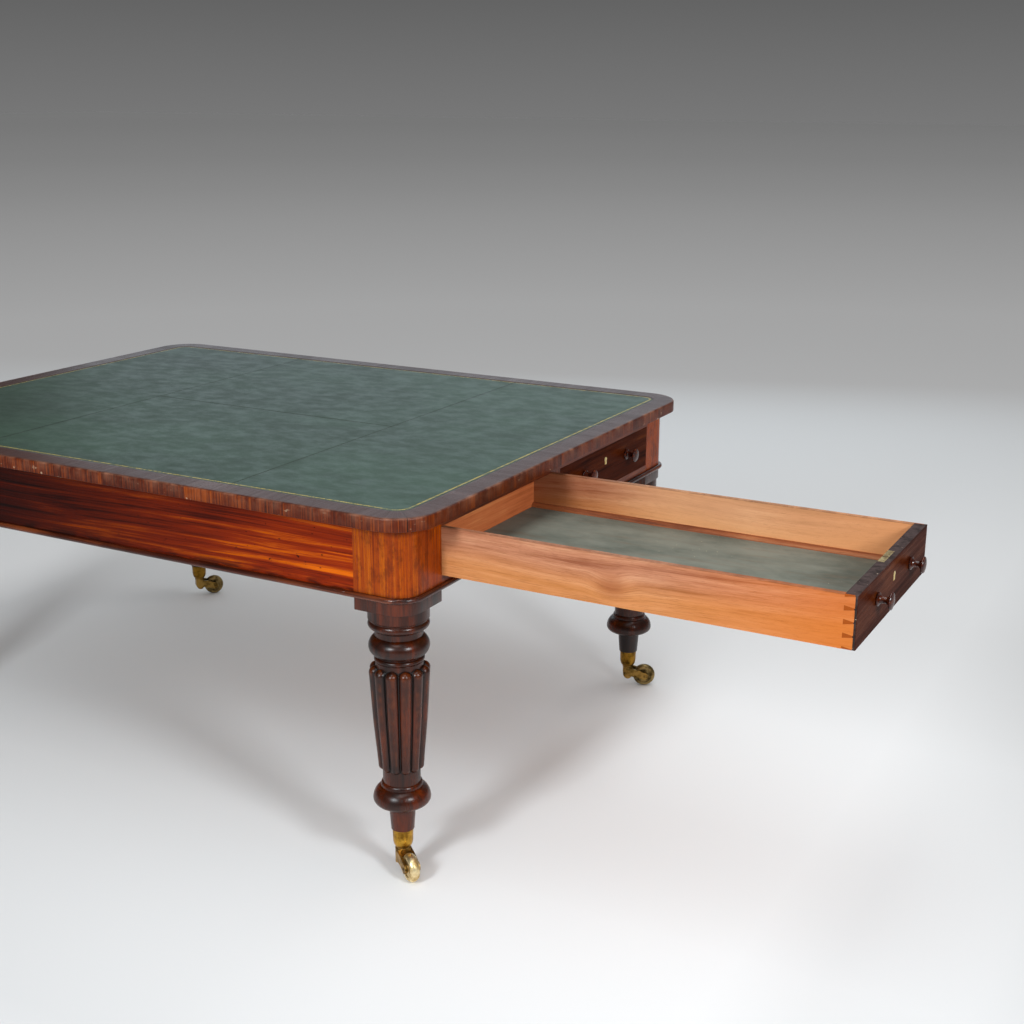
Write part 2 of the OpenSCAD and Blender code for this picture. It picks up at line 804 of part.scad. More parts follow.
module cup_profile() {
    bore_r = swivel_r + running_fit;
    belly_z = cup_z + cup_round_h;
    foot_lip = 3;
    belly_in = 0.7;
    step = 0.125;
    polygon(concat(
        [[bore_r, cup_z]],
        [for (t = [0:step:1]) [
            bend(cup_foot_r, cup_belly_r - belly_in, cup_belly_r, t),
            bend(cup_z, cup_z + foot_lip, belly_z, t)
        ]],
        [[cup_body_r, cup_top_z - cup_lip_h], [cup_top_r, cup_top_z - cup_lip_h], [cup_top_r, cup_top_z]],
        [[cup_body_r - cup_wall, cup_top_z], [cup_foot_r - cup_wall / 2, tip_z]],
        [[cup_foot_r - cup_wall, cup_z + cup_floor], [bore_r, cup_z + cup_floor]]
    ));
}

module cup(sx, sy) {
    color(brass) castor_at(sx, sy, 0) rotate_extrude() cup_profile();
}

// Side view of a horn arm, from the swivel at x = 0 to the eye at x = trail
module arm_outline() {
    root_z = cup_z - 16;
    sag = 3;
    elbow = 0.6;
    steps = 8;
    middle = [for (i = [0:steps]) [
        bend(0, trail * elbow, trail, i / steps), bend(root_z, root_z - sag, wheel_r, i / steps)
    ]];
    half_w = [for (i = [0:steps]) arm_root_w + (eye_r - arm_root_w) * i / steps];
    polygon(concat(
        [for (i = [0:steps]) middle[i] + [0, half_w[i]]],
        [for (i = [steps:-1:0]) middle[i] - [0, half_w[i]]]
    ));
    translate([trail, wheel_r]) circle(eye_r);
}

// Side view of the barrel between the arms, with its round foot
module barrel_outline(r, foot_z, top_z) {
    translate([0, foot_z + r]) circle(r);
    translate([-r, foot_z + r]) square([2 * r, top_z - foot_z - r]);
}

module horn(sx, sy, a) {
    head_r = swivel_r + 2;
    head_t = 2;
    flange_t = 3;
    flange_z = cup_z - swivel_gap - flange_t;
    wheel_gap = 2;
    barrel_r = min(12, trail - wheel_r - wheel_gap);
    barrel_foot_z = 22;
    color(brass) castor_at(sx, sy, a) {
        translate([0, 0, flange_z]) cylinder(r = flange_r, h = flange_t);
        translate([0, 0, flange_z]) cylinder(r = swivel_r, h = flange_t + swivel_gap + cup_floor + 1);
        translate([0, 0, cup_z + cup_floor + swivel_gap]) cylinder(r = head_r, h = head_t);
        intersection() {
            translate([0, 0, barrel_foot_z]) cylinder(r = horn_w / 2, h = flange_z - barrel_foot_z);
            translate([0, horn_w / 2, 0]) rotate([90, 0, 0]) linear_extrude(horn_w)
                barrel_outline(barrel_r, barrel_foot_z, flange_z);
        }
        difference() {
            for (k = [-1, 1])
                translate([0, k * (arm_y + arm_t / 2) + arm_t / 2, 0]) rotate([90, 0, 0])
                    linear_extrude(arm_t) arm_outline();
            translate([trail, -horn_w, wheel_r]) rotate([-90, 0, 0]) cylinder(r = axle_r, h = 2 * horn_w);
        }
    }
}

module axle(sx, sy, a) {
    proud = 0.6;
    color(brass) castor_at(sx, sy, a) translate([trail, -horn_w / 2 - proud, wheel_r])
        rotate([-90, 0, 0]) cylinder(r = axle_r, h = horn_w + 2 * proud);
}

module wheel_profile() {
    w = wheel_w / 2;
    hub_t = 5;
    rim_t = 5;
    dish = 2;
    hub_r = axle_r + hub_t;
    rim_r = wheel_edge_r - rim_t;
    tread_r = rise_radius(wheel_w, wheel_r - wheel_edge_r);
    tread_a = asin(w / tread_r);
    polygon(concat(
        [[axle_r + running_fit, -w], [hub_r, -w], [hub_r, dish - w], [rim_r, dish - w], [rim_r, -w]],
        arc(wheel_r - tread_r, 0, tread_r, -tread_a, tread_a, 8),
        [[rim_r, w], [rim_r, w - dish], [hub_r, w - dish], [hub_r, w], [axle_r + running_fit, w]]
    ));
}

module wheel(sx, sy, a) {
    color(brass) castor_at(sx, sy, a) translate([trail, 0, wheel_r]) rotate([90, 0, 0])
        rotate_extrude() wheel_profile();
}

// Drawers
// A drawer's own frame: x = 0 at its front face, y = 0 at its middle, z = 0 at its lower edge
module drawer(s) {
    out = s == near ? drawer_travel : 0;
    table() translate([frame_x + out, s * drawer_y, drawer_z]) children();
}

// Dovetails along +x over a height h, flared away from the shoulder at x = 0
module tails(n, h, l, t, fit) {
    pitch = h / n;
    wide = pitch - pin_w + 2 * fit;
    narrow = wide - 2 * l * tan(tail_slope);
    for (i = [0:n - 1])
        translate([0, -fit, pitch * (i + 0.5)]) rotate([90, 0, 0]) mirror([0, 0, 1])
            linear_extrude(t + 2 * fit)
                polygon([[-1, -narrow / 2], [0, -narrow / 2], [l + fit, -wide / 2],
                         [l + fit, wide / 2], [0, narrow / 2], [-1, narrow / 2]]);
}

// The side at +y, cut for its dovetails and grooved for the bottom
module drawer_side() {
    l = drawer_l - front_t - back_t;
    translate([-front_t, drawer_w / 2 - side_t, 0]) {
        difference() {
            union() {
                translate([-l, 0, 0]) cube([l, side_t, drawer_h]);
                tails(front_tails, drawer_h, tail_l, side_t, 0);
            }
            translate([-l - 1, -1, bottom_rise])
                cube([l + 1 + groove_d + joint_fit, groove_d + 1, bottom_t]);
        }
        translate([-l - back_t, 0, 0]) cube([back_t, side_t, bottom_rise]);
        translate([-l, 0, floor_z]) mirror([1, 0, 0])
            tails(back_tails, drawer_h - floor_z, back_t, side_t, 0);
    }
}

module drawer_sides(s) {
    color(cedar) drawer(s) for (k = [-1, 1])
        side_of(k) drawer_side();
}

module keyhole(grow, t) {
    rotate([90, 0, 90]) linear_extrude(t) {
        circle(keyhole_r + grow);
        translate([-keyhole_w / 2 - grow, -keyhole_l - grow])
            square([keyhole_w + 2 * grow, keyhole_l + grow]);
    }
}

module drawer_front(s) {
    color(mahogany) drawer(s) difference() {
        translate([-front_t, -drawer_w / 2, drawer_run]) cube([front_t, drawer_w, drawer_h - drawer_run]);
        for (k = [-1, 1])
            side_of(k) translate([-front_t, drawer_w / 2 - side_t, 0])
                tails(front_tails, drawer_h, tail_l, side_t + 1, joint_fit);
        translate([-front_t - 1, -inside_w / 2 - groove_d, bottom_rise])
            cube([groove_d + 1 + joint_fit, inside_w + 2 * groove_d, bottom_t]);
        translate([-front_t - 1, -lock_w / 2, drawer_h - lock_h]) cube([lock_d + 1, lock_w, lock_h + 1]);
        translate([-front_t - 1, -lock_w / 2 - selvedge_out, drawer_h - lock_wall])
            cube([lock_d + 1, lock_w + 2 * selvedge_out, lock_wall + 1]);
        translate([-front_t, 0, key_z]) keyhole(0, front_t + 1);
        translate([-escutcheon_t, 0, key_z]) keyhole(escutcheon_rim, front_t);
        for (k = [-1, 1])
            translate([-front_t - 1, k * knob_offset, knob_rise]) rotate([0, 90, 0])
                cylinder(r = knob_dowel_r, h = front_t + 2);
    }
}

module drawer_back(s) {
    l = drawer_l - back_t;
    color(cedar) drawer(s) difference() {
        translate([-drawer_l, -drawer_w / 2, floor_z]) cube([back_t, drawer_w, drawer_h - floor_z]);
        for (k = [-1, 1])
            side_of(k) translate([-l, drawer_w / 2 - side_t, floor_z]) mirror([1, 0, 0])
                tails(back_tails, drawer_h - floor_z, back_t, side_t + 1, joint_fit);
    }
}

module drawer_bottom(s) {
    reach = drawer_l - front_t + groove_d;
    color(cedar) drawer(s) translate([-drawer_l, -inside_w / 2 - groove_d, bottom_rise])
        cube([reach, inside_w + 2 * groove_d, bottom_t]);
}

module drawer_slips(s) {
    l = drawer_l - front_t - back_t;
    color(cedar) drawer(s) for (k = [-1, 1])
        side_of(k) translate([-front_t - l, inside_w / 2, floor_z]) intersection() {
            rotate([0, 90, 0]) cylinder(r = slip_r, h = l);
            translate([0, -slip_r, 0]) cube([l, slip_r, slip_r]);
        }
}

module drawer_lining(s) {
    l = drawer_l - front_t - back_t - 2 * hairline;
    w = inside_w - 2 * slip_r - 2 * hairline;
    color(leather_green) drawer(s) translate([-front_t - hairline - l, -w / 2, floor_z])
        cube([l, w, lining_t]);
}

module knob_profile() {
    flange_t = 5;
    flange_round = 2;
    neck_l = 5;
    disc_t = 7;
    disc_round = 2.5;
    disc_z = knob_out - disc_t;
    neck_z = disc_z - neck_l;
    face_z = disc_z + 2 * disc_round;
    polygon(concat(
        [[0, -front_t], [knob_dowel_r, -front_t], [knob_dowel_r, 0], [knob_flange_r - 1, 0]],
        arc(knob_flange_r - flange_round, flange_t / 2, flange_round, -60, 60, 4),
        [for (t = [0:0.25:1]) [
            bend(knob_flange_r - flange_round - 1, knob_neck_r - 1, knob_neck_r, t),
            bend(flange_t, flange_t + 1, neck_z, t)
        ]],
        [for (t = [0.25:0.25:1]) [
            bend(knob_neck_r, knob_neck_r + 1, knob_disc_r - disc_round, t),
            bend(neck_z, disc_z - 1, disc_z, t)
        ]],
        arc(knob_disc_r - disc_round, disc_z + disc_round, disc_round, -60, 70, 5),
        [for (t = [0.25:0.25:1]) [
            bend(knob_disc_r - disc_round, knob_disc_r / 2, 0, t), bend(face_z, knob_out, knob_out, t)
        ]]
    ));
}

module drawer_knobs(s) {
    color(mahogany) drawer(s) for (k = [-1, 1])
        translate([0, k * knob_offset, knob_rise]) rotate([0, 90, 0]) rotate_extrude() knob_profile();
}

module drawer_escutcheon(s) {
    color(brass) drawer(s) translate([-escutcheon_t, 0, key_z]) difference() {
        keyhole(escutcheon_rim, escutcheon_t + escutcheon_proud);
        translate([-1, 0, 0]) keyhole(0, escutcheon_t + 3);
    }
}

// Lock case with its edge plate, open inside for the bolt
module drawer_lock(s) {
    color(brass) drawer(s) difference() {
        union() {
            translate([-front_t, -lock_w / 2, drawer_h - lock_h]) cube([lock_d, lock_w, lock_h]);
            translate([-front_t, -lock_w / 2 - selvedge_out, drawer_h - lock_wall])
                cube([lock_d, lock_w + 2 * selvedge_out, lock_wall]);
        }
        translate([-front_t + lock_wall, -lock_w / 2 + lock_wall, drawer_h - lock_h + lock_wall])
            cube([lock_d - 2 * lock_wall, lock_w - 2 * lock_wall, lock_h - 2 * lock_wall]);
        translate([bolt_x - bolt_fit, -bolt_w / 2 - bolt_fit, drawer_h - lock_wall - 1])
            cube([bolt_t + 2 * bolt_fit, bolt_w + 2 * bolt_fit, lock_wall + 2]);
        translate([case_wall_x - lock_wall - 1, 0, key_z]) keyhole(0, lock_wall + 2);
    }
}

module drawer_bolt(s) {
    color(brass) drawer(s) translate([bolt_x, -bolt_w / 2, bolt_z]) cube([bolt_t, bolt_w, bolt_l]);
}

module drawer_near_leg() leg(1, near);
module drawer_far_leg() leg(1, far);
module plain_near_leg() leg(-1, near);
module plain_far_leg() leg(-1, far);
module drawer_near_cup() cup(1, near);
module drawer_far_cup() cup(1, far);
module plain_near_cup() cup(-1, near);
module plain_far_cup() cup(-1, far);
module drawer_near_horn() horn(1, near, drawer_near_swivel);
module drawer_far_horn() horn(1, far, drawer_far_swivel);
module plain_near_horn() horn(-1, near, plain_near_swivel);
module plain_far_horn() horn(-1, far, plain_far_swivel);
module drawer_near_wheel() wheel(1, near, drawer_near_swivel);
module drawer_far_wheel() wheel(1, far, drawer_far_swivel);
module plain_near_wheel() wheel(-1, near, plain_near_swivel);
module plain_far_wheel() wheel(-1, far, plain_far_swivel);
module drawer_near_axle() axle(1, near, drawer_near_swivel);
module drawer_far_axle() axle(1, far, drawer_far_swivel);
module plain_near_axle() axle(-1, near, plain_near_swivel);
module plain_far_axle() axle(-1, far, plain_far_swivel);

top_panel();
top_border();
leather();
corner_blocks();
near_side_rail();
far_side_rail();
plain_end_rail();
drawer_top_rail();
drawer_bottom_rail();
drawer_divider();
frieze_bead();
lower_cross_rail();
upper_cross_rail();
outer_runners();
centre_runner();
drawer_guides();
drawer_kickers();
drawer_stops();
glue_blocks();
drawer_near_leg();
drawer_far_leg();
plain_near_leg();
plain_far_leg();
drawer_near_cup();
drawer_far_cup();
plain_near_cup();
plain_far_cup();
drawer_near_horn();
drawer_far_horn();
plain_near_horn();
plain_far_horn();
drawer_near_wheel();
drawer_far_wheel();
plain_near_wheel();
plain_far_wheel();
drawer_near_axle();
drawer_far_axle();
plain_near_axle();
plain_far_axle();
drawer_front(near);  // near_drawer_front
drawer_sides(near);  // near_drawer_sides
drawer_back(near);  // near_drawer_back
drawer_bottom(near);  // near_drawer_bottom
drawer_slips(near);  // near_drawer_slips
drawer_lining(near);  // near_drawer_lining
drawer_knobs(near);  // near_drawer_knobs
drawer_escutcheon(near);  // near_drawer_escutcheon
drawer_lock(near);  // near_drawer_lock
drawer_bolt(near);  // near_drawer_bolt
drawer_front(far);  // far_drawer_front
drawer_sides(far);  // far_drawer_sides
drawer_back(far);  // far_drawer_back
drawer_bottom(far);  // far_drawer_bottom
drawer_slips(far);  // far_drawer_slips
drawer_lining(far);  // far_drawer_lining
drawer_knobs(far);  // far_drawer_knobs
drawer_escutcheon(far);  // far_drawer_escutcheon
drawer_lock(far);  // far_drawer_lock
drawer_bolt(far);  // far_drawer_bolt
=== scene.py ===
"""Looks of the library table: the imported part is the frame, and pieces with finer surfaces stand on it."""

import math

import bpy
import numpy as np
from mathutils import Matrix, Vector


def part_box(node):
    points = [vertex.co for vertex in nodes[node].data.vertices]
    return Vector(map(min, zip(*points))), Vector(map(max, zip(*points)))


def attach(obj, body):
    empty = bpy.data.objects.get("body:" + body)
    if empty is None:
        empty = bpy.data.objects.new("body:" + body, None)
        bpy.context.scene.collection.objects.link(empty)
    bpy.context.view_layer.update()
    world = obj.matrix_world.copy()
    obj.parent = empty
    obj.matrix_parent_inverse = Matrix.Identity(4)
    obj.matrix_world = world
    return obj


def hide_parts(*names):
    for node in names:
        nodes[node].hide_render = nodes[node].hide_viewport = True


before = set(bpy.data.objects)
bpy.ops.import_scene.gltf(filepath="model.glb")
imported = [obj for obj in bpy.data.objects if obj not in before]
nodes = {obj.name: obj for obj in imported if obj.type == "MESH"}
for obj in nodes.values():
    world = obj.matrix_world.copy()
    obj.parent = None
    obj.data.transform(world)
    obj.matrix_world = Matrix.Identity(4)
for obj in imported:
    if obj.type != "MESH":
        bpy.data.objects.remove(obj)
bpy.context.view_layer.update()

# Camera
# The photographer stands off the corner between the near side and the drawer end, with the lens about 1.5 m
# up, and looks a little down. The lens and the place come from the table's own straight edges.
camera_place = Vector((1.7296, -2.6695, 1.4849))
camera_turn, camera_dip, camera_lean = 2.0716, 0.2854, 0.0028
photo_width, focal_pixels, film_width = 1024, 1456.26, 36.0

forward = Vector((
    math.cos(camera_dip) * math.cos(camera_turn),
    math.cos(camera_dip) * math.sin(camera_turn),
    -math.sin(camera_dip),
))
level = Vector((math.sin(camera_turn), -math.cos(camera_turn), 0))
rise = level.cross(forward)
across = math.cos(camera_lean) * level + math.sin(camera_lean) * rise
upward = math.cos(camera_lean) * rise - math.sin(camera_lean) * level

lens = bpy.data.cameras.new("photo_camera")
lens.sensor_width = film_width
lens.lens = focal_pixels / photo_width * film_width
lens.clip_end = 200
camera = bpy.data.objects.new("photo_camera", lens)
camera_axes = Matrix((across, upward, -forward)).transposed().to_4x4()
camera.matrix_world = Matrix.Translation(camera_place) @ camera_axes
bpy.context.scene.collection.objects.link(camera)
bpy.context.scene.camera = camera
bpy.context.scene.view_settings.view_transform = "Standard"


# Floor and light
# A seamless floor of pale studio paper, its colour greying with distance as a painted falloff of light,
# under a long soft light from above. Two smaller soft boxes beside the camera give the bright spots on the
# turned work, and a panel behind lights the leather.
class Bench:
    """A node tree being wired. Each call adds a node, feeds it and gives back its output."""

    def __init__(self, tree):
        self.tree = tree

    def add(self, kind, feeds=None, **settings):
        node = self.tree.nodes.new("ShaderNode" + kind)
        for key, value in settings.items():
            setattr(node, key, value)
        for key, value in (feeds or {}).items():
            self.feed(node.inputs[key], value)
        return node

    def feed(self, socket, value):
        if isinstance(value, bpy.types.NodeSocket):
            self.tree.links.new(value, socket)
        else:
            socket.default_value = value

    def math(self, operation, *values, clamp=False):
        return self.add("Math", dict(enumerate(values)), operation=operation, use_clamp=clamp).outputs[0]

    def times(self, first, *others):
        for other in others:
            first = self.math("MULTIPLY", first, other)
        return first

    def plus(self, first, *others, clamp=False):
        for other in others:
            first = self.math("ADD", first, other, clamp=clamp)
        return first

    def less(self, value, other, clamp=False):
        return self.math("SUBTRACT", value, other, clamp=clamp)

    def larger(self, value, other):
        return self.math("MAXIMUM", value, other)

    def smaller(self, value, other):
        return self.math("MINIMUM", value, other)

    def absolute(self, value):
        return self.math("ABSOLUTE", value)

    def vector(self, operation, *values):
        node = self.add("VectorMath", dict(enumerate(values)), operation=operation)
        return node.outputs["Value" if operation in ("LENGTH", "DISTANCE") else "Vector"]

    def split(self, vector):
        return self.add("SeparateXYZ", {0: vector}).outputs

    def join(self, x, y, z):
        return self.add("CombineXYZ", {0: x, 1: y, 2: z}).outputs[0]

    def place(self, vector, scale=(1, 1, 1), shift=(0, 0, 0), turn=(0, 0, 0)):
        feeds = {"Vector": vector, "Location": shift, "Rotation": turn, "Scale": scale}
        return self.add("Mapping", feeds).outputs[0]

    def noise(self, vector, scale, detail=2.0, roughness=0.5):
        """Even noise from one scale, or noise drawn out along the axes from three."""
        if isinstance(scale, tuple):
            vector, scale = self.place(vector, scale), 1.0
        feeds = {"Vector": vector, "Scale": scale, "Detail": detail, "Roughness": roughness}
        return self.add("TexNoise", feeds).outputs["Fac"]

    def cells(self, vector, scale, feature="F1"):
        """Distance to the nearest of scattered points."""
        node = self.add("TexVoronoi", {"Vector": vector, "Scale": scale}, feature=feature)
        return node.outputs["Distance"]

    def step(self, value, low, high, first=0.0, last=1.0):
        feeds = {"Value": value, "From Min": low, "From Max": high, "To Min": first, "To Max": last}
        return self.add("MapRange", feeds, interpolation_type="SMOOTHSTEP").outputs[0]

    def slope(self, value, low, high, first=0.0, last=1.0):
        feeds = {"Value": value, "From Min": low, "From Max": high, "To Min": first, "To Max": last}
        return self.add("MapRange", feeds).outputs[0]

    def mix(self, share, first, second):
        feeds = {0: share, 6: tint(first), 7: tint(second)}
        return self.add("Mix", feeds, data_type="RGBA").outputs[2]

    def bump(self, height, distance, strength=1.0):
        return self.add("Bump", {"Height": height, "Distance": distance, "Strength": strength}).outputs[0]

    def surface(self, colour, roughness, height, depth, strength=1.0, shine=0.5, metal=0.0):
        """Feeds the shader. Depth is the relief's in metres. Shine and metal are the same all over."""
        sockets = self.shader.inputs
        self.feed(sockets["Base Color"], colour)
        self.feed(sockets["Roughness"], roughness)
        self.feed(sockets["Normal"], self.bump(height, depth, strength))
        sockets["Specular IOR Level"].default_value = shine
        sockets["Metallic"].default_value = metal


def new_finish(name):
    """A material and a bench to wire it on. The bench's where is the surface's own place in metres."""
    material = bpy.data.materials.new(name)
    material.use_nodes = True
    bench = Bench(material.node_tree)
    bench.shader = material.node_tree.nodes["Principled BSDF"]
    bench.where = bench.add("TexCoord").outputs["Object"]
    return material, bench


def tint(colour):
    """Linear colour of a six-figure screen colour. A socket or a ready colour passes through."""
    if not isinstance(colour, str):
        return colour
    values = np.array([int(colour[i:i + 2], 16) for i in (0, 2, 4)]) / 255
    linear = np.where(values <= 0.04045, values / 12.92, ((values + 0.055) / 1.055) ** 2.4)
    return (*linear.tolist(), 1.0)


# The paper's tone, a painted falloff of light, by the distance from its middle, on a logarithmic scale: 0 is
# 0.1 m away and 1 is 100 m.
floor_reach = 60.0
falloff_middle = (0.88, -0.46, 0.0)
painted_falloff_tones = (
    (0.0, 0.86), (0.3, 0.85), (0.49, 0.79), (0.57, 0.79), (0.634, 0.83), (0.68, 0.76),
    (0.725, 0.68), (0.767, 0.595), (0.826, 0.51), (0.9, 0.455), (0.92, 0.445),
)
floor_mesh = bpy.data.meshes.new("studio_floor")
floor_corners = [(x * floor_reach, y * floor_reach, 0) for x, y in ((-1, -1), (1, -1), (1, 1), (-1, 1))]
floor_mesh.from_pydata(floor_corners, [], [(0, 1, 2, 3)])
floor = bpy.data.objects.new("studio_floor", floor_mesh)
bpy.context.scene.collection.objects.link(floor)

material, bench = new_finish("studio_paper_painted_falloff")
far_off = bench.math("LOGARITHM", bench.vector("DISTANCE", bench.where, falloff_middle), 10.0)
ramp = bench.add("ValToRGB", {0: bench.slope(far_off, -1, 2, 0, 1)})
marks = ramp.color_ramp.elements
marks[1].position = painted_falloff_tones[-1][0]
for place, _ in painted_falloff_tones[1:-1]:
    marks.new(place)
for mark, (_, tone) in zip(marks, painted_falloff_tones):
    mark.color = (tone, tone, tone, 1)
floor_place = bench.split(bench.where)
# Painted falloff of light: the paper is darker towards the right and towards the front.
painted_right_falloff = bench.slope(floor_place[0], 1.0, 1.5, 1.0, 0.75)
painted_front_falloff = bench.slope(floor_place[1], -1.2, -0.5, 0.76, 1.0)
painted_falloff = bench.times(painted_right_falloff, painted_front_falloff)
paper_and_painted_falloff = bench.vector("MULTIPLY", ramp.outputs[0], bench.join(painted_falloff, painted_falloff, painted_falloff))
bench.feed(bench.shader.inputs["Base Color"], paper_and_painted_falloff)
bench.shader.inputs["Roughness"].default_value = 0.9
bench.shader.inputs["Specular IOR Level"].default_value = 0.1
floor_mesh.materials.append(material)

world = bpy.data.worlds.new("studio_air")
world.use_nodes = True
bpy.context.scene.world = world
bench = Bench(world.node_tree)
sky = world.node_tree.nodes["Background"]
# The air lights the part from all sides, and what the camera and the reflections see of it is darker.
heading = bench.split(bench.vector("NORMALIZE", bench.add("TexCoord").outputs["Generated"]))
lit = bench.step(heading[2], 0.0, 0.7, 0.5, 0.4)
seen = bench.slope(heading[2], -0.025, 0.06, 0.188, 0.12)
seen = bench.times(seen, bench.slope(heading[1], -0.3, 0.3, 0.62, 1.0))
path = bench.add("LightPath").outputs
mirrored = bench.larger(path["Is Glossy Ray"], path["Is Transmission Ray"])
in_sight = bench.larger(path["Is Camera Ray"], mirrored)
strength = bench.add("Mix", {0: in_sight, 2: lit, 3: seen}, data_type="FLOAT").outputs[0]
bench.feed(sky.inputs["Strength"], strength)
sky.inputs["Color"].default_value = (1, 1, 1, 1)


def soft_box(name, place, aim, width, height, power, hue=(1, 1, 1)):
    """A rectangular studio light that faces a point. Its sizes are in metres and its power in watts."""
    lamp = bpy.data.lights.new(name, "AREA")
    lamp.shape = "RECTANGLE"
    lamp.size, lamp.size_y = width, height
    lamp.energy, lamp.color = power, hue
    stand = bpy.data.objects.new(name, lamp)
    stand.location = place
    stand.rotation_euler = (Vector(aim) - Vector(place)).to_track_quat("-Z", "Y").to_euler()
    stand.visible_camera = False
    bpy.context.scene.collection.objects.link(stand)


cool, cooler = (0.9, 0.96, 1.0), (0.75, 0.9, 1.0)
soft_box("overhead_light", (0.66, -0.1, 3.57), (0.66, 0.0, 0.0), width=1.0, height=4.8, power=55)
soft_box("left_window", (0.136, -3.43, 2.05), (0.3, -0.5, 0.45), width=0.55, height=0.7, power=64, hue=cool)
soft_box("right_window", (3.03, -1.55, 2.05), (0.32, -0.5, 0.45), width=0.55, height=0.7, power=52, hue=cool)
soft_box("back_panel", (-1.6, 3.6, 1.9), (-0.4, 0.2, 0.7), width=5.0, height=1.8, power=24, hue=cooler)


# Frieze rails
# The long rails and the plain end rail are pine faced with flame mahogany veneer, laid with the figure
# running along them and french polished. They are tenoned into the corner blocks. Dirt has gathered along
# their foot.
def new_group(name, takes, gives):
    """An empty shader group with named sockets, and a bench on it."""
    tree = bpy.data.node_groups.new(name, "ShaderNodeTree")
    for title, (kind, start) in takes.items():
        socket = tree.interface.new_socket(title, in_out="INPUT", socket_type="NodeSocket" + kind)
        if start is not None:
            socket.default_value = start
    for title, kind in gives.items():
        tree.interface.new_socket(title, in_out="OUTPUT", socket_type="NodeSocket" + kind)
    bench = Bench(tree)
    bench.given = tree.nodes.new("NodeGroupInput").outputs
    bench.result = tree.nodes.new("NodeGroupOutput").inputs
    return tree, bench


# The grain runs along X. Broad streaks and fine fibres are noise drawn out along it and bent by a slow
# wander, patches are broader noise, and pores are short dark dashes.
grain, bench = new_group(
    "wood_grain",
    {
        "Vector": ("Vector", None), "Dark": ("Color", (0.1, 0.03, 0.01, 1)),
        "Middle": ("Color", (0.2, 0.06, 0.02, 1)), "Pale": ("Color", (0.4, 0.15, 0.04, 1)),
        "Wander": ("Float", 0.03), "Streaks": ("Float", 60.0), "Patch": ("Float", 0.3),
        "Pores": ("Float", 0.4), "Bias": ("Float", 0.0),
    },
    {"Color": "Color", "Height": "Float", "Tone": "Float"},
)
given = bench.given
slow = bench.place(given["Vector"], (1.5, 4, 4))
drift = bench.add("TexNoise", {"Vector": slow, "Scale": 1.0, "Detail": 2.0}).outputs["Color"]
drift = bench.vector("SUBTRACT", drift, (0.5, 0.5, 0.5))
drift = bench.vector("MULTIPLY", drift, bench.join(0.2, given["Wander"], given["Wander"]))
bent = bench.vector("ADD", given["Vector"], drift)
drawn_out = bench.vector("MULTIPLY", bent, bench.join(2.0, given["Streaks"], given["Streaks"]))
broad = bench.noise(drawn_out, 1.0, 5, 0.62)
fibre = bench.noise(bent, (11, 650, 650), 3, 0.6)
patch = bench.noise(given["Vector"], (5, 9, 9), 3, 0.55)
pore = bench.step(bench.noise(bent, (60, 1500, 1500), 1), 0.62, 0.72)
tone = bench.plus(bench.times(bench.less(broad, 0.5), 1.5), bench.times(bench.less(fibre, 0.5), 0.55))
patchy = bench.times(bench.less(patch, 0.5), bench.times(given["Patch"], 2.5))
tone = bench.plus(tone, patchy, 0.5, given["Bias"])
colour = bench.mix(bench.step(tone, 0.15, 0.52), given["Dark"], given["Middle"])
colour = bench.mix(bench.step(tone, 0.48, 0.88), colour, given["Pale"])
colour = bench.mix(bench.times(pore, given["Pores"]), colour, given["Dark"])
bench.feed(bench.result["Color"], colour)
bench.feed(bench.result["Tone"], tone)
bench.feed(bench.result["Height"], bench.less(bench.times(fibre, 0.3), bench.times(pore, 0.5)))


def wood(bench, along, dark, middle, pale, wander, streaks, patch, pores, bias=0.0):
    """Places the grain in three tones. The wander is in metres, and the streaks are so many to a metre."""
    tones = {"Dark": tint(dark), "Middle": tint(middle), "Pale": tint(pale), "Bias": bias}
    pattern = {"Vector": along, "Wander": wander, "Streaks": streaks, "Patch": patch, "Pores": pores}
    return bench.add("Group", tones | pattern, node_tree=grain).outputs


def polish(bench, colour, height, tone, smooth=0.2, spread=0.16, depth=0.00012, shine=0.25):
    """French polish over wood: the pale streaks lie a little smoother, and the pores show through."""
    bench.surface(colour, bench.step(tone, 0.0, 1.0, smooth + spread, smooth), height, depth, shine=shine)


def dress(material, *names):
    """Gives CAD nodes a finish."""
    for name in names:
        for slot in nodes[name].material_slots:
            slot.material = material


dark_end, bright_end = -0.75, 0.42
clean_from, dirty_from = 0.612, 0.588
for rail, turn in (("near_side_rail", 0), ("far_side_rail", 0), ("plain_end_rail", math.pi / 2)):
    material, bench = new_finish(rail.replace("rail", "veneer"))
    along = bench.place(bench.where, turn=(0, 0, -turn))
    # Painted shade: each rail's colours darken from its bright end towards its dark end.
    painted_light_share = bench.step(bench.split(along)[0], dark_end, bright_end)
    dark = bench.mix(painted_light_share, "100100", "4a0e01")
    middle = bench.mix(painted_light_share, "2a0400", "8e2802")
    pale = bench.mix(painted_light_share, "540d00", "da6608")
    stretched = bench.place(along, (0.5, 1, 1))
    figure = wood(bench, stretched, dark, middle, pale, wander=0.07, streaks=100, patch=0.35, pores=0.3)
    foot = bench.step(bench.split(bench.where)[2], clean_from, dirty_from)
    dirt = bench.step(bench.noise(bench.where, (16, 16, 60), 4, 0.6), 0.42, 0.6)
    worm = bench.step(bench.noise(bench.where, (70, 70, 110), 2), 0.7, 0.74)
    stain = bench.larger(bench.times(foot, dirt, 0.8), bench.times(worm, painted_light_share))
    colour = bench.mix(stain, figure["Color"], "120604")
    polish(bench, colour, figure["Height"], figure["Tone"], smooth=0.24, shine=0.1)
    dress(material, rail)
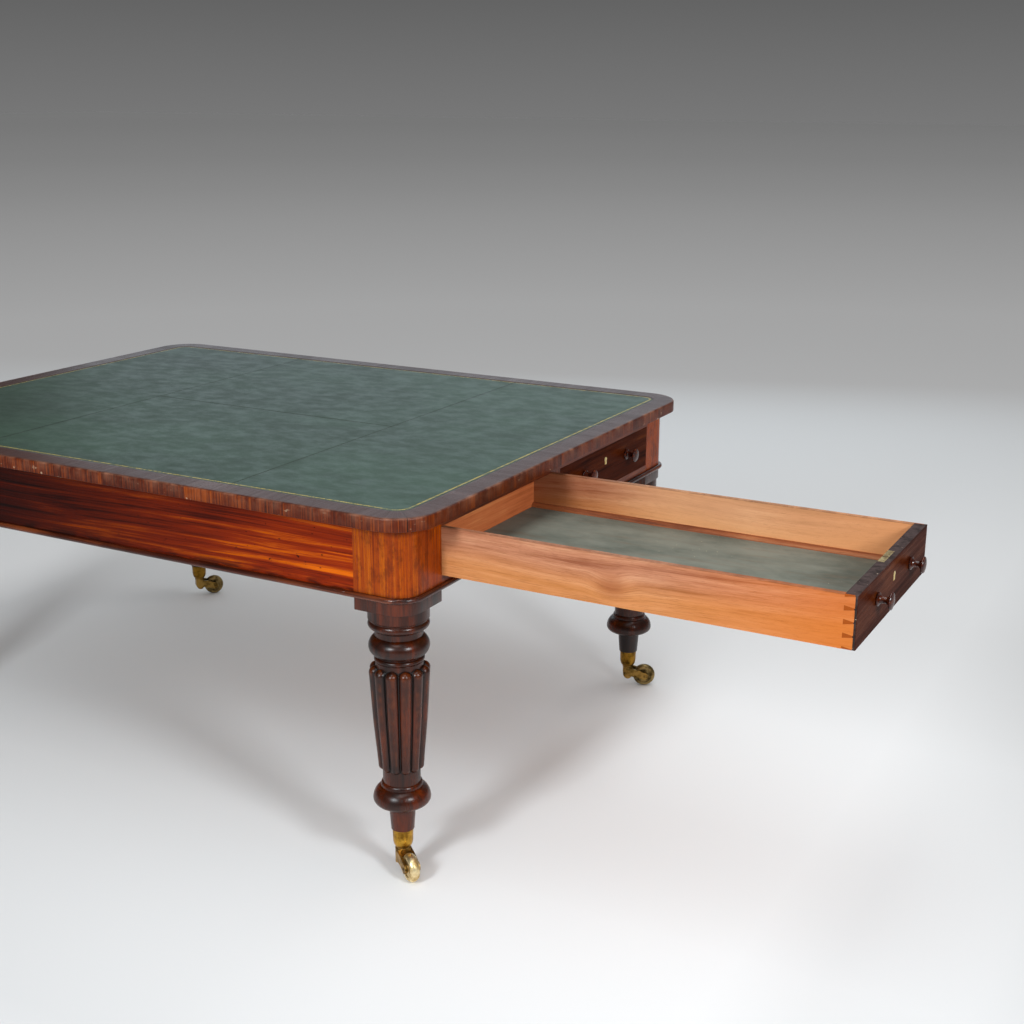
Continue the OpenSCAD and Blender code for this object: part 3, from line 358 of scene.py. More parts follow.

# Corner blocks
# Solid posts between the rails, their faces veneered with straight-grained mahogany standing upright, and
# their outer corner rounded. The polish is blotched, dirt has gathered at the foot, and painted shade
# darkens them under the top.
material, bench = new_finish("post_veneer")
standing = bench.place(bench.where, turn=(0, math.pi / 2, 0))
figure = wood(bench, standing, "6a2002", "943a04", "b65a0a", wander=0.01, streaks=300, patch=0.35, pores=0.5)
blot = bench.step(bench.noise(bench.where, (42, 42, 26), 6, 0.74), 0.45, 0.64)
colour = bench.mix(bench.times(blot, 0.52), figure["Color"], "4a1604")
block_foot, shade_under_top = (0.6, 0.583), (0.714, 0.724)
height = bench.split(bench.where)[2]
# Dirt at the foot, and painted shade under the top.
dirt_and_painted_shade = bench.larger(bench.step(height, *block_foot), bench.step(height, *shade_under_top))
dirt_and_painted_shade = bench.times(dirt_and_painted_shade, bench.step(bench.noise(bench.where, 40, 3), 0.3, 0.6, 0.35, 0.75))
colour = bench.mix(dirt_and_painted_shade, colour, "240c04")
polish(bench, colour, figure["Height"], figure["Tone"], shine=0.15)
dress(material, "corner_blocks")

# Rails of the drawer end
# Solid mahogany rails above and below the drawers, with an upright between them, darker than the long side.
material, bench = new_finish("drawer_end_mahogany")
along = bench.place(bench.where, turn=(0, 0, -math.pi / 2))
figure = wood(bench, along, "2a0c05", "5c2410", "8c4420", wander=0.02, streaks=80, patch=0.3, pores=0.5)
polish(bench, figure["Color"], figure["Height"], figure["Tone"], smooth=0.26)
dress(material, "drawer_top_rail", "drawer_bottom_rail")

material, bench = new_finish("upright_mahogany")
standing = bench.place(bench.where, turn=(0, math.pi / 2, 0))
figure = wood(bench, standing, "2a0c05", "5c2410", "84401e", wander=0.01, streaks=110, patch=0.2, pores=0.5)
polish(bench, figure["Color"], figure["Height"], figure["Tone"], smooth=0.26)
dress(material, "drawer_divider")

# Bead
# A half-round mahogany bead runs round the foot of the frieze, mitred at the corners, glued and pinned.
middle_x, bead_reach = -0.3895, 0.74
material, bench = new_finish("bead_mahogany")
parts = bench.split(bench.where)
from_middle = bench.absolute(bench.less(parts[0], middle_x))
at_end = bench.step(from_middle, bead_reach - 0.005, bead_reach + 0.005)
turned = bench.join(parts[1], parts[0], parts[2])
along = bench.mix(at_end, bench.where, turned)
figure = wood(bench, along, "180603", "3c160a", "70361a", wander=0.01, streaks=120, patch=0.5, pores=0.4)
polish(bench, figure["Color"], figure["Height"], figure["Tone"], smooth=0.18, shine=0.45)
dress(material, "frieze_bead")

# Wood inside the frieze
# Runners, guides, kickers, stops, cross rails, glue blocks and the ground of the top are plain pine, never
# polished, browned by air and dust.
lengthwise = (
    "outer_runners", "centre_runner", "drawer_guides", "drawer_kickers", "top_panel", "glue_blocks",
)
crosswise = ("lower_cross_rail", "upper_cross_rail", "drawer_stops")
for title, names, turn in (("pine_lengthwise", lengthwise, 0), ("pine_crosswise", crosswise, math.pi / 2)):
    material, bench = new_finish(title)
    along = bench.place(bench.where, turn=(0, 0, -turn))
    figure = wood(bench, along, "5a3818", "8a6234", "b08a54", wander=0.05, streaks=45, patch=0.5, pores=0.1)
    dust = bench.noise(bench.where, 14, 4, 0.6)
    colour = bench.mix(bench.step(dust, 0.4, 0.7, 0.0, 0.5), figure["Color"], "4c3a28")
    bench.surface(colour, bench.step(dust, 0.3, 0.7, 0.7, 0.9), figure["Height"], 0.0004)
    dress(material, *names)

# Border of the top
# Crossbanded mahogany round the leather, in four lengths mitred at the rounded corners, with a worn upper
# arris that also carries a painted highlight, and small chips along the lower one. Its upper face is tinted
# towards a greyish brown, partly a painted sheen. The grain runs from the leather to the edge and down its
# face.
top_half = np.array([0.8, 0.623])
top_z, under_z = 0.750, 0.724
corner_radius, arris_radius, foot_radius, border_width = 0.084, 0.004, 0.0012, 0.0519
corner_steps = 33


def outline(half, radius, steps):
    """Rounded rectangle: the corner's centre and the outward direction at each step of its quarter turn."""
    angle = (np.arange(4)[:, None] * 90 + np.linspace(0, 90, steps)[None, :]) * np.pi / 180
    signs = np.array([[1, 1], [-1, 1], [-1, -1], [1, -1]])[:, None, :]
    centre = signs * (np.array(half) - radius) * np.ones((4, steps, 1))
    away = np.stack([np.cos(angle), np.sin(angle)], -1)
    return centre.reshape(-1, 2), away.reshape(-1, 2)


def grid_faces(rows, columns, closed_rows=False, closed_columns=False):
    """Quads between neighbouring points of a grid numbered row by row."""
    i = np.arange(rows if closed_rows else rows - 1)[:, None]
    j = np.arange(columns if closed_columns else columns - 1)[None, :]
    a, b = i * columns + j, i * columns + (j + 1) % columns
    c, d = (i + 1) % rows * columns + (j + 1) % columns, (i + 1) % rows * columns + j
    return np.stack([a, b, c, d], -1).reshape(-1, 4)


def distance_along(points):
    """How far each point of a line lies from its first point, measured along the line."""
    return np.concatenate([[0], np.cumsum(np.linalg.norm(np.diff(points, axis=0), axis=1))])


def build(name, points, faces, smooth_below=35, uv=None, **measures):
    """A piece, smooth across edges flatter than an angle in degrees. The measures are kept per point."""
    mesh = bpy.data.meshes.new(name)
    mesh.from_pydata(points.tolist(), [], faces)
    for title, values in measures.items():
        kept = mesh.attributes.new(title, "FLOAT", "POINT").data
        kept.foreach_set("value", np.asarray(values, np.float32).ravel())
    if uv is not None:
        corners = np.zeros(len(mesh.loops), np.int32)
        mesh.loops.foreach_get("vertex_index", corners)
        mesh.uv_layers.new(name="UVMap").data.foreach_set("uv", np.asarray(uv, np.float32)[corners].ravel())
    mesh.shade_smooth()
    mesh.set_sharp_from_angle(angle=math.radians(smooth_below))
    mesh.update()
    piece = bpy.data.objects.new(name, mesh)
    bpy.context.scene.collection.objects.link(piece)
    return piece


# The section of a length runs from the leather under the border, round its foot, up its face, over the
# arris and back to the leather. Each point is (distance in from the edge, height).
quarter = np.linspace(0, 90, 7) * np.pi / 180
sine, cosine = np.sin(quarter), np.cos(quarter)
under_side = [[border_width, under_z], [foot_radius + 0.001, under_z]]
foot_round = np.stack([foot_radius - foot_radius * sine, under_z + foot_radius - foot_radius * cosine], -1)
arris_round = np.stack(
    [arris_radius - arris_radius * cosine, top_z - arris_radius + arris_radius * sine], -1,
)
upper_side = [
    [arris_radius + 0.006, top_z], [border_width - 0.006, top_z],
    [border_width - 0.0006, top_z], [border_width, top_z - 0.0006],
]
section = np.concatenate([under_side, foot_round, arris_round, upper_side])
centre, away = outline(top_half, corner_radius, corner_steps)
reach = corner_radius - section[:, 0]
points = np.concatenate([
    centre[None, :, :] + away[None, :, :] * reach[:, None, None] + [middle_x, 0],
    np.broadcast_to(section[:, 1][:, None, None], (len(section), len(centre), 1)),
], -1)
run = distance_along(centre + away * corner_radius)
girth = distance_along(section)
u, v = np.meshgrid(run, girth)
halfway = corner_steps // 2
mitre = np.abs(np.arange(len(centre)) % corner_steps - halfway) / halfway * corner_radius * np.pi / 4
rows, columns = u.shape
# The wear, with the arris's painted highlight, falls off with the squared distances from the arris and from
# the lower edge.
arris_mark, arris_spread, foot_spread = 0.0012, 0.0035, 0.0022
from_arris = (section[:, 0] - arris_mark) ** 2 + (section[:, 1] - top_z + arris_mark) ** 2
from_foot = section[:, 0] ** 2 + (section[:, 1] - under_z) ** 2
arris = np.exp(-from_arris / arris_spread**2)
low = np.exp(-from_foot / foot_spread**2)
border = build(
    "top_border_veneer", points.reshape(-1, 3), grid_faces(rows, columns, True, True).tolist(), 50,
    np.stack([u, v], -1).reshape(-1, 2), mitre=np.broadcast_to(mitre, u.shape),
    arris=np.broadcast_to(arris[:, None], u.shape), low=np.broadcast_to(low[:, None], u.shape),
)


def measure(bench, title):
    """A measure kept on the mesh, as a socket."""
    return bench.add("Attribute", attribute_name=title).outputs["Fac"]


# The veneer is laid in leaves of slightly different tone. The map runs round the border and over it.
leaf_width = 0.21
face_end, upper_start = 0.0735, 0.079
material, bench = new_finish("crossbanding")
flat = bench.split(bench.add("UVMap", uv_map="UVMap").outputs[0])
uneven = bench.times(bench.noise(bench.join(flat[0], 0.0, 0.0), 1.7), 0.2)
leaf = bench.math("FLOOR", bench.math("DIVIDE", bench.plus(flat[0], uneven), leaf_width))
leaf_tone = bench.add("TexWhiteNoise", {"W": leaf}, noise_dimensions="1D").outputs["Value"]
banded = bench.join(flat[1], flat[0], bench.times(leaf, 0.37))
leaf_bias = bench.times(bench.less(leaf_tone, 0.5), 0.08)
figure = wood(
    bench, banded, "2c0800", "541900", "8c3c00",
    wander=0.008, streaks=240, patch=0.4, pores=0.3, bias=leaf_bias,
)
upper_face = bench.step(flat[1], face_end, upper_start)
# The upper face is mixed towards an even greyish brown, partly its own tone and partly a painted sheen.
colour = bench.mix(bench.times(upper_face, 0.9), figure["Color"], "3c2019")
speck = bench.noise(bench.where, (55, 55, 90), 3, 0.6)
chips = bench.times(measure(bench, "low"), bench.step(speck, 0.665, 0.7))
# The rubbed arris is paler from wear and from a painted highlight.
rubbed = bench.step(bench.noise(bench.where, 35, 4, 0.6), 0.35, 0.72, 0.0, 0.65)
rubbed = bench.times(measure(bench, "arris"), rubbed)
colour = bench.mix(rubbed, colour, "9c6c54")
colour = bench.mix(chips, colour, "c8a888")
seam = bench.less(1.0, bench.step(measure(bench, "mitre"), 0.0002, 0.0012))
colour = bench.mix(bench.times(seam, 0.7), colour, "160804")
height = bench.less(figure["Height"], bench.plus(seam, chips))
tone = bench.times(figure["Tone"], bench.step(upper_face, 0.0, 1.0, 0.6, 1.0))
polish(bench, colour, height, tone, smooth=0.27, spread=0.15, depth=0.00025, shine=0.26)
border.data.materials.append(material)
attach(border, "table")
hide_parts("top_border")

# Leather
# Four skins of dark green hide pasted on the ground, one at each end and two in the middle, butted with
# fine seams and finished with a gold line tooled all round, just inside the border.
skin_half = top_half - border_width - 0.0002
skin_radius = corner_radius - border_width
seam_drawer, seam_plain, seam_middle = 0.355, -0.322, -0.008
seam_gap, seam_dip, seam_soft = 0.00004, 0.0003, 0.0009
face_depth, back_depth = 0.00012, 0.0011
tool_inset, tool_width = 0.0055, 0.0044


def spaced(low, high, fine, coarse):
    """Places from low to high, crowded at both ends, where each step is 1.35 times the one before it."""
    ends = np.concatenate([[0], np.cumsum(fine * 1.35 ** np.arange(12))])
    ends = ends[ends < (high - low) / 3]
    count = max(2, int((high - low - 2 * ends[-1]) / coarse)) + 1
    middle = np.linspace(low + ends[-1], high - ends[-1], count)
    return np.concatenate([low + ends[:-1], middle, high - ends[:-1][::-1]])


def skin(x0, x1, y0, y1):
    """Closed grid over one skin, cut off at the seams and at the border with its rounded corners. The
    surface sinks towards the skin's edges by the dip times e to the power of minus the distance over the
    soft length."""
    x = spaced(x0, x1, 0.0006, 0.012)
    share = spaced(0, 1, 0.0006, 0.02)
    into = np.clip(np.abs(x) - (skin_half[0] - skin_radius), 0, skin_radius)
    trim = skin_radius - np.sqrt(np.maximum(skin_radius**2 - into**2, 0))
    bottom = np.maximum(y0, -skin_half[1] + trim)
    top = np.minimum(y1, skin_half[1] - trim)
    grid_x = np.broadcast_to(x[:, None], (len(x), len(share)))
    grid_y = bottom[:, None] + (top - bottom)[:, None] * share[None, :]
    edge = np.minimum(
        np.minimum(grid_x - x0, x1 - grid_x), np.minimum(grid_y - bottom[:, None], top[:, None] - grid_y),
    )
    grid_z = top_z - face_depth - seam_dip * np.exp(-np.maximum(edge, 0) / seam_soft)
    upper = np.stack([grid_x + middle_x, grid_y, grid_z], -1)
    lower = upper.copy()
    lower[..., 2] = top_z - back_depth
    rows, columns = grid_x.shape
    count = rows * columns
    faces = grid_faces(rows, columns)
    around = np.concatenate([
        np.arange(rows) * columns, (rows - 1) * columns + np.arange(1, columns),
        np.arange(rows - 2, -1, -1) * columns + columns - 1, np.arange(columns - 2, 0, -1),
    ])
    skirt = np.stack([around, around + count, np.roll(around, -1) + count, np.roll(around, -1)], -1)
    flat = np.stack([faces[:, 0], faces[:, 3], faces[:, 2], faces[:, 1]], -1) + count
    points = np.concatenate([upper.reshape(-1, 3), lower.reshape(-1, 3)])
    return points, np.concatenate([faces, skirt, flat])


inner_ends = (seam_plain + seam_gap, seam_drawer - seam_gap)
skins = [
    skin(-skin_half[0], seam_plain - seam_gap, -1, 1), skin(*inner_ends, -1, seam_middle - seam_gap),
    skin(*inner_ends, seam_middle + seam_gap, 1), skin(seam_drawer + seam_gap, skin_half[0], -1, 1),
]
starts = np.cumsum([0] + [len(points) for points, _ in skins])[:-1]
hide_points = np.concatenate([points for points, _ in skins])
hide_faces = np.concatenate([faces + start for (_, faces), start in zip(skins, starts)])
hide = build("leather_skins", hide_points, hide_faces.tolist(), 60)

material, bench = new_finish("green_hide")
local = bench.vector("SUBTRACT", bench.where, (middle_x, 0, 0))
parts = bench.split(local)
# Distance in from the border, as in a rounded rectangle: worked out from the nearest corner's centre
square = (*(skin_half - skin_radius).tolist(), 0)
past = bench.split(bench.vector("SUBTRACT", bench.vector("ABSOLUTE", local), square))
round_part = bench.vector("LENGTH", bench.join(bench.larger(past[0], 0.0), bench.larger(past[1], 0.0), 0.0))
depth = bench.less(skin_radius, bench.plus(round_part, bench.smaller(bench.larger(past[0], past[1]), 0.0)))
# Distance to the nearest seam, where the lengthwise one counts only between the two crosswise ones
to_drawer_seam = bench.absolute(bench.less(parts[0], seam_drawer))
to_plain_seam = bench.absolute(bench.less(parts[0], seam_plain))
past_plain = bench.step(parts[0], seam_plain - 0.001, seam_plain)
before_drawer = bench.step(parts[0], seam_drawer + 0.001, seam_drawer)
to_middle_seam = bench.absolute(bench.less(parts[1], seam_middle))
to_middle_seam = bench.plus(to_middle_seam, bench.less(1.0, bench.times(past_plain, before_drawer)))
to_seam = bench.smaller(bench.smaller(to_drawer_seam, to_plain_seam), to_middle_seam)
cloud = bench.noise(bench.where, (2.2, 3.4, 1), 4, 0.6)
mottle = bench.noise(bench.where, (20, 30, 1), 5, 0.68)
colour = bench.mix(bench.step(cloud, 0.3, 0.7), "203526", "2b4533")
colour = bench.mix(bench.step(mottle, 0.35, 0.75, 0.0, 0.3), colour, "355140")
stain = bench.noise(bench.where, (9, 13, 1), 5, 0.7)
colour = bench.mix(bench.step(stain, 0.5, 0.78, 0.0, 0.55), colour, "1e3226")
ragged = bench.times(bench.less(bench.noise(bench.where, 25, 3), 0.5), 0.008)
soil = bench.step(bench.plus(to_seam, ragged), 0.008, 0.0)
colour = bench.mix(bench.times(soil, 0.8), colour, "1a2c18")
# The tooled gold line, with the marks of the wheel and the places where the gold has rubbed away
tool_marks = 160
from_line = bench.absolute(bench.less(depth, tool_inset))
gold = bench.step(from_line, tool_width / 2 + 0.0003, tool_width / 2 - 0.0002)
mark = bench.math("FRACT", bench.times(bench.plus(parts[0], parts[1]), tool_marks))
rubbed = bench.step(bench.noise(bench.where, 150, 3, 0.7), 0.4, 0.56, 0.15, 1.0)
between_marks = bench.step(bench.absolute(bench.less(mark, 0.5)), 0.05, 0.2, 0.45, 1.0)
gold_kept = bench.times(gold, rubbed, between_marks)
colour = bench.mix(gold_kept, colour, "b49c48")
pebble = bench.cells(bench.where, 620.0, "SMOOTH_F1")
grooves = bench.plus(bench.times(gold, 0.7), bench.times(bench.step(to_seam, 0.0026, 0.0), 0.9))
height = bench.less(bench.plus(bench.times(pebble, 0.35), bench.times(mottle, 0.6)), grooves)
bench.surface(colour, bench.step(mottle, 0.3, 0.7, 0.52, 0.4), height, 0.0004, strength=0.6)
bench.feed(bench.shader.inputs["Metallic"], bench.times(gold_kept, 0.2))
hide.data.materials.append(material)
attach(hide, "table")
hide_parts("leather")

# Legs
# Each leg is one piece of mahogany turned in the lathe, then carved with twelve reeds. Above the turning it
# is left square as a pad with one rounded corner, and a round tenon holds it in the corner block.
reed_count = 12
reed_spread = math.sin(math.pi / reed_count)
reed_top_z, reed_foot_z = 0.42604, 0.234
reed_top_reach, reed_foot_reach, reed_swell = 0.0588, 0.0445, 0.0011
reed_top_centre, reed_foot_centre = reed_top_reach / (1 + reed_spread), reed_foot_reach / (1 + reed_spread)
leg_columns = reed_count * 18
pad_half, pad_corner_radius, pad_sharp_radius = 0.059, 0.048, 0.0012


def arc(r, z, size, first, last, steps):
    """Points (radius, height) on an arc round (r, z) from the first angle to the last, in degrees."""
    angle = np.linspace(first, last, steps) * np.pi / 180
    return np.stack([r + size * np.cos(angle), z + size * np.sin(angle)], -1)


def curve(a, b, c, steps):
    """Points on the quadratic curve from a to c that leans towards b, without its first point."""
    t = np.linspace(0, 1, steps + 1)[1:, None]
    return (1 - t) ** 2 * np.array(a) + 2 * t * (1 - t) * np.array(b) + t**2 * np.array(c)


def line(a, b, steps):
    """Points on a straight line without its first point."""
    return np.array(a) + np.linspace(0, 1, steps + 1)[1:, None] * (np.array(b) - np.array(a))


# The turned profile from the foot in the castor's cup up to the pad. Each point is (radius, height).
leg_profile = np.concatenate([
    [[0.0, 0.063], [0.0123, 0.063], [0.018, 0.0949], [0.0224, 0.095], [0.0226, 0.0952]],
    line((0.0226, 0.0952), (0.0262, 0.1445), 6),
    [[0.0264, 0.1447]],
    line((0.0264, 0.1447), (0.042, 0.1495), 4),
    curve((0.042, 0.1495), (0.056, 0.1525), (0.056, 0.164), 14),
    curve((0.056, 0.164), (0.054, 0.1815), (0.041, 0.188), 14),
    [[0.0401, 0.1882], [0.04, 0.189]],
    curve((0.04, 0.189), (0.041, 0.1894), (0.0408, 0.191), 4),
    curve((0.0408, 0.191), (0.0404, 0.1945), (0.0386, 0.1966), 5),
    curve((0.0386, 0.1966), (0.0379, 0.1973), (0.0364, 0.1976), 3),
    line((0.0364, 0.1976), (0.0364, 0.2245), 3),
    line((0.0364, 0.2245), (0.0353, 0.234), 12),
    line((0.0353, 0.234), (0.0461, reed_top_z), 30),
    line((0.0461, reed_top_z), (0.046, 0.4464), 22),
    [[0.0454, 0.447]],
    arc(0.043, 0.4515, 0.005, -60, 60, 13),
    [[0.044, 0.4564], [0.0438, 0.4572], [0.0441, 0.458]],
    arc(0.0365, 0.47775, 0.0215, -66.5, 66.5, 35),
    [[0.0441, 0.4975], [0.0438, 0.498], [0.0441, 0.4985], [0.0458, 0.4987]],
    line((0.0458, 0.4987), (0.0464, 0.5098), 5),
    [[0.0455, 0.5101], [0.0451, 0.5105], [0.0453, 0.511], [0.048, 0.5111]],
    curve((0.048, 0.5111), (0.0575, 0.514), (0.0585, 0.5216), 10),
    arc(0.05, 0.5216, 0.0085, 0, 60, 9),
    [[0.0546, 0.529], [0.0555, 0.529]],
    curve((0.0555, 0.529), (0.0556, 0.5316), (0.058, 0.5327), 5),
    [[0.0585, 0.5332]],
    line((0.0585, 0.5332), (0.0585, 0.5538), 4),
    [[0.0, 0.554]],
])


def reeded(profile, columns):
    """Radius over height and angle. The reeds' axes stand round the core and close in towards the foot.
    Where a ray at an angle crosses a reed's round, the radius is the larger of the core's and the far
    crossing's. Past its top and foot a reed ends in a dome: its round shrinks there like a ball's
    slices."""
    radius, z = profile[:, 0][:, None], profile[:, 1][:, None]
    share = np.clip((z - reed_foot_z) / (reed_top_z - reed_foot_z), 0, 1)
    axis = reed_foot_centre + share * (reed_top_centre - reed_foot_centre)
    swell = reed_swell * np.sin(np.pi * share) ** 2
    ball = axis * reed_spread * 1.03
    beyond = np.maximum(np.maximum(z - reed_top_z, reed_foot_z - z), 0)
    cut = np.sqrt(np.maximum(ball**2 - beyond**2, 0))
    angle = (np.arange(columns) + 0.5) / columns * 2 * np.pi
    off = np.mod(angle, 2 * np.pi / reed_count) - np.pi / reed_count
    side = (axis * np.sin(off)[None, :]) ** 2
    out = (axis + swell) * np.cos(off)[None, :] + np.sqrt(np.maximum(cut**2 - side, 0))
    inside = (cut**2 > side) & (beyond < ball)
    return np.where(inside, np.maximum(radius, out), radius), angle


def hollowness(radius, along):
    """How far a point lies under its surroundings, in metres: the radius smoothed over a few millimetres up
    and down, and over a few columns round about, less the radius itself. It is above nought in a groove."""
    even = np.arange(0, along[-1], 0.0005)
    kernel = np.hanning(17)
    kernel /= kernel.sum()

    def smoothed(column):
        padded = np.pad(np.interp(even, along, column), len(kernel) // 2, mode="edge")
        return np.interp(along, even, np.convolve(padded, kernel, "valid"))

    lengthways = np.apply_along_axis(smoothed, 0, radius)
    beside = range(-5, 6)
    around = sum(np.roll(radius, k, 1) for k in beside) / len(beside)
    return (lengthways - radius) * 0.8 + (around - radius)


def block_outline(half, radius, sharp, steps):
    """Square outline with its +x +y corner rounded by radius and the others by sharp, counter-clockwise:
    the corner's centre, the outward direction and the rounding at each step of each quarter turn."""
    corner = [(1, 1, radius), (-1, 1, sharp), (-1, -1, sharp), (1, -1, sharp)]
    runs = []
    for k, (sign_x, sign_y, r) in enumerate(corner):
        angle = (90 * k + np.linspace(0, 90, steps)) * np.pi / 180
        centre = np.array([sign_x * (half - r), sign_y * (half - r)])
        away = np.stack([np.cos(angle), np.sin(angle)], -1)
        runs.append((np.repeat(centre[None], steps, 0), away, np.full(steps, r)))
    return [np.concatenate(parts) for parts in zip(*runs)]


def leg_piece(name, sign_x, sign_y):
    """One leg: the turned and reeded part as a closed grid, and the pad as a second closed one."""
    low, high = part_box(name)
    x, y = (low.x + high.x) / 2, (low.y + high.y) / 2
    radius, angle = reeded(leg_profile, leg_columns)
    along = distance_along(leg_profile)
    hollow = hollowness(radius, along)
    z = np.broadcast_to(leg_profile[:, 1][:, None], radius.shape)
    turned = np.stack([x + radius * np.cos(angle), y + radius * np.sin(angle), z], -1).reshape(-1, 3)
    faces = grid_faces(*radius.shape, closed_columns=True).tolist()
    centre, away, rounding = block_outline(pad_half, pad_corner_radius, pad_sharp_radius, 9)
    # The pad's sections from the turning up, each (inset, height)
    sections = [(0.001, 0.554), (0.0003, 0.5543), (0.0, 0.555), (0.0, 0.5787), (0.0004, 0.579)]
    loops = []
    for inset, height in sections:
        rim = centre + away * np.maximum(rounding - inset, 0.0001)[:, None]
        loops.append(np.column_stack([rim, np.full(len(rim), height)]))
    loops = np.concatenate(loops)
    loops[:, 0] = x + loops[:, 0] * sign_x
    loops[:, 1] = y + loops[:, 1] * sign_y
    count, start = len(centre), len(turned)
    pad = grid_faces(len(sections), count, closed_columns=True) + start
    top_cap = [start + (len(sections) - 1) * count + i for i in range(count)]
    bottom_cap = [start + i for i in reversed(range(count))]
    if sign_x * sign_y < 0:
        pad = pad[:, ::-1]
        top_cap, bottom_cap = top_cap[::-1], bottom_cap[::-1]
    faces += pad.tolist() + [top_cap, bottom_cap]
    hollow = np.concatenate([hollow.ravel(), np.zeros(len(loops))])
    return build(name + "_turned", np.concatenate([turned, loops]), faces, 38, hollow=hollow)


material, bench = new_finish("turned_mahogany")
standing = bench.place(bench.where, turn=(0, math.pi / 2, 0))
figure = wood(bench, standing, "160400", "361000", "5c1f00", wander=0.01, streaks=45, patch=0.5, pores=0.35)
hollow = measure(bench, "hollow")
# The grooves and hollows are darkened by dirt and by painted shade.
groove_dirt_and_shade = bench.step(hollow, 0.0002, 0.0022)
rubbed = bench.step(bench.noise(bench.where, 60, 4, 0.6), 0.35, 0.7)
crest = bench.times(bench.step(hollow, -0.0004, -0.0016), rubbed)
colour = bench.mix(bench.times(crest, 0.28), figure["Color"], "94440e")
colour = bench.mix(bench.times(groove_dirt_and_shade, 0.92), colour, "0c0503")
tone = bench.less(figure["Tone"], groove_dirt_and_shade)
polish(bench, colour, figure["Height"], tone, smooth=0.22, spread=0.12, shine=0.42)
legs = (
    ("drawer_near_leg", 1, -1), ("drawer_far_leg", 1, 1),
    ("plain_near_leg", -1, -1), ("plain_far_leg", -1, 1),
)
for name, sign_x, sign_y in legs:
    leg = leg_piece(name, sign_x, sign_y)
    leg.data.materials.append(material)
    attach(leg, "table")
    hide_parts(name)

# Castors
# Cast and turned brass: a cup on the leg's tapered foot, a forked horn that swivels under it, and a wheel
# on a pin through the fork. The near castor's cup and wheel are a paler, lit copy of the brass, and the
# others a darker, shaded copy.
corners = ("drawer_near", "drawer_far", "plain_near", "plain_far")
for title, kind, at, bright, dull, rough in (
    ("lit_cup_brass", "cup", corners[:1], "c8983a", "7c581e", 0.2),
    ("lit_wheel_brass", "wheel", corners[:1], "ffeab8", "c4a468", 0.3),
    ("shaded_cup_brass", "cup", corners[1:], "9c7228", "50380f", 0.26),
    ("shaded_wheel_brass", "wheel", corners[1:], "a08858", "453820", 0.34),
    ("horn_brass", "horn", corners, "b08a48", "54401c", 0.3),
    ("pin_brass", "axle", corners, "8a6c38", "3a2810", 0.35),
):
    material, bench = new_finish(title)
    film = bench.noise(bench.where, 45, 4, 0.62)
    scratch = bench.noise(bench.where, (300, 300, 1400), 2)
    colour = bench.mix(bench.step(film, 0.4, 0.68), bright, dull)
    roughness = bench.plus(bench.step(film, 0.35, 0.7, rough, rough + 0.25), bench.times(scratch, 0.08))
    bench.surface(colour, roughness, bench.plus(film, bench.times(scratch, 0.2)), 0.0002, metal=1.0)
    dress(material, *(f"{corner}_{kind}" for corner in at))

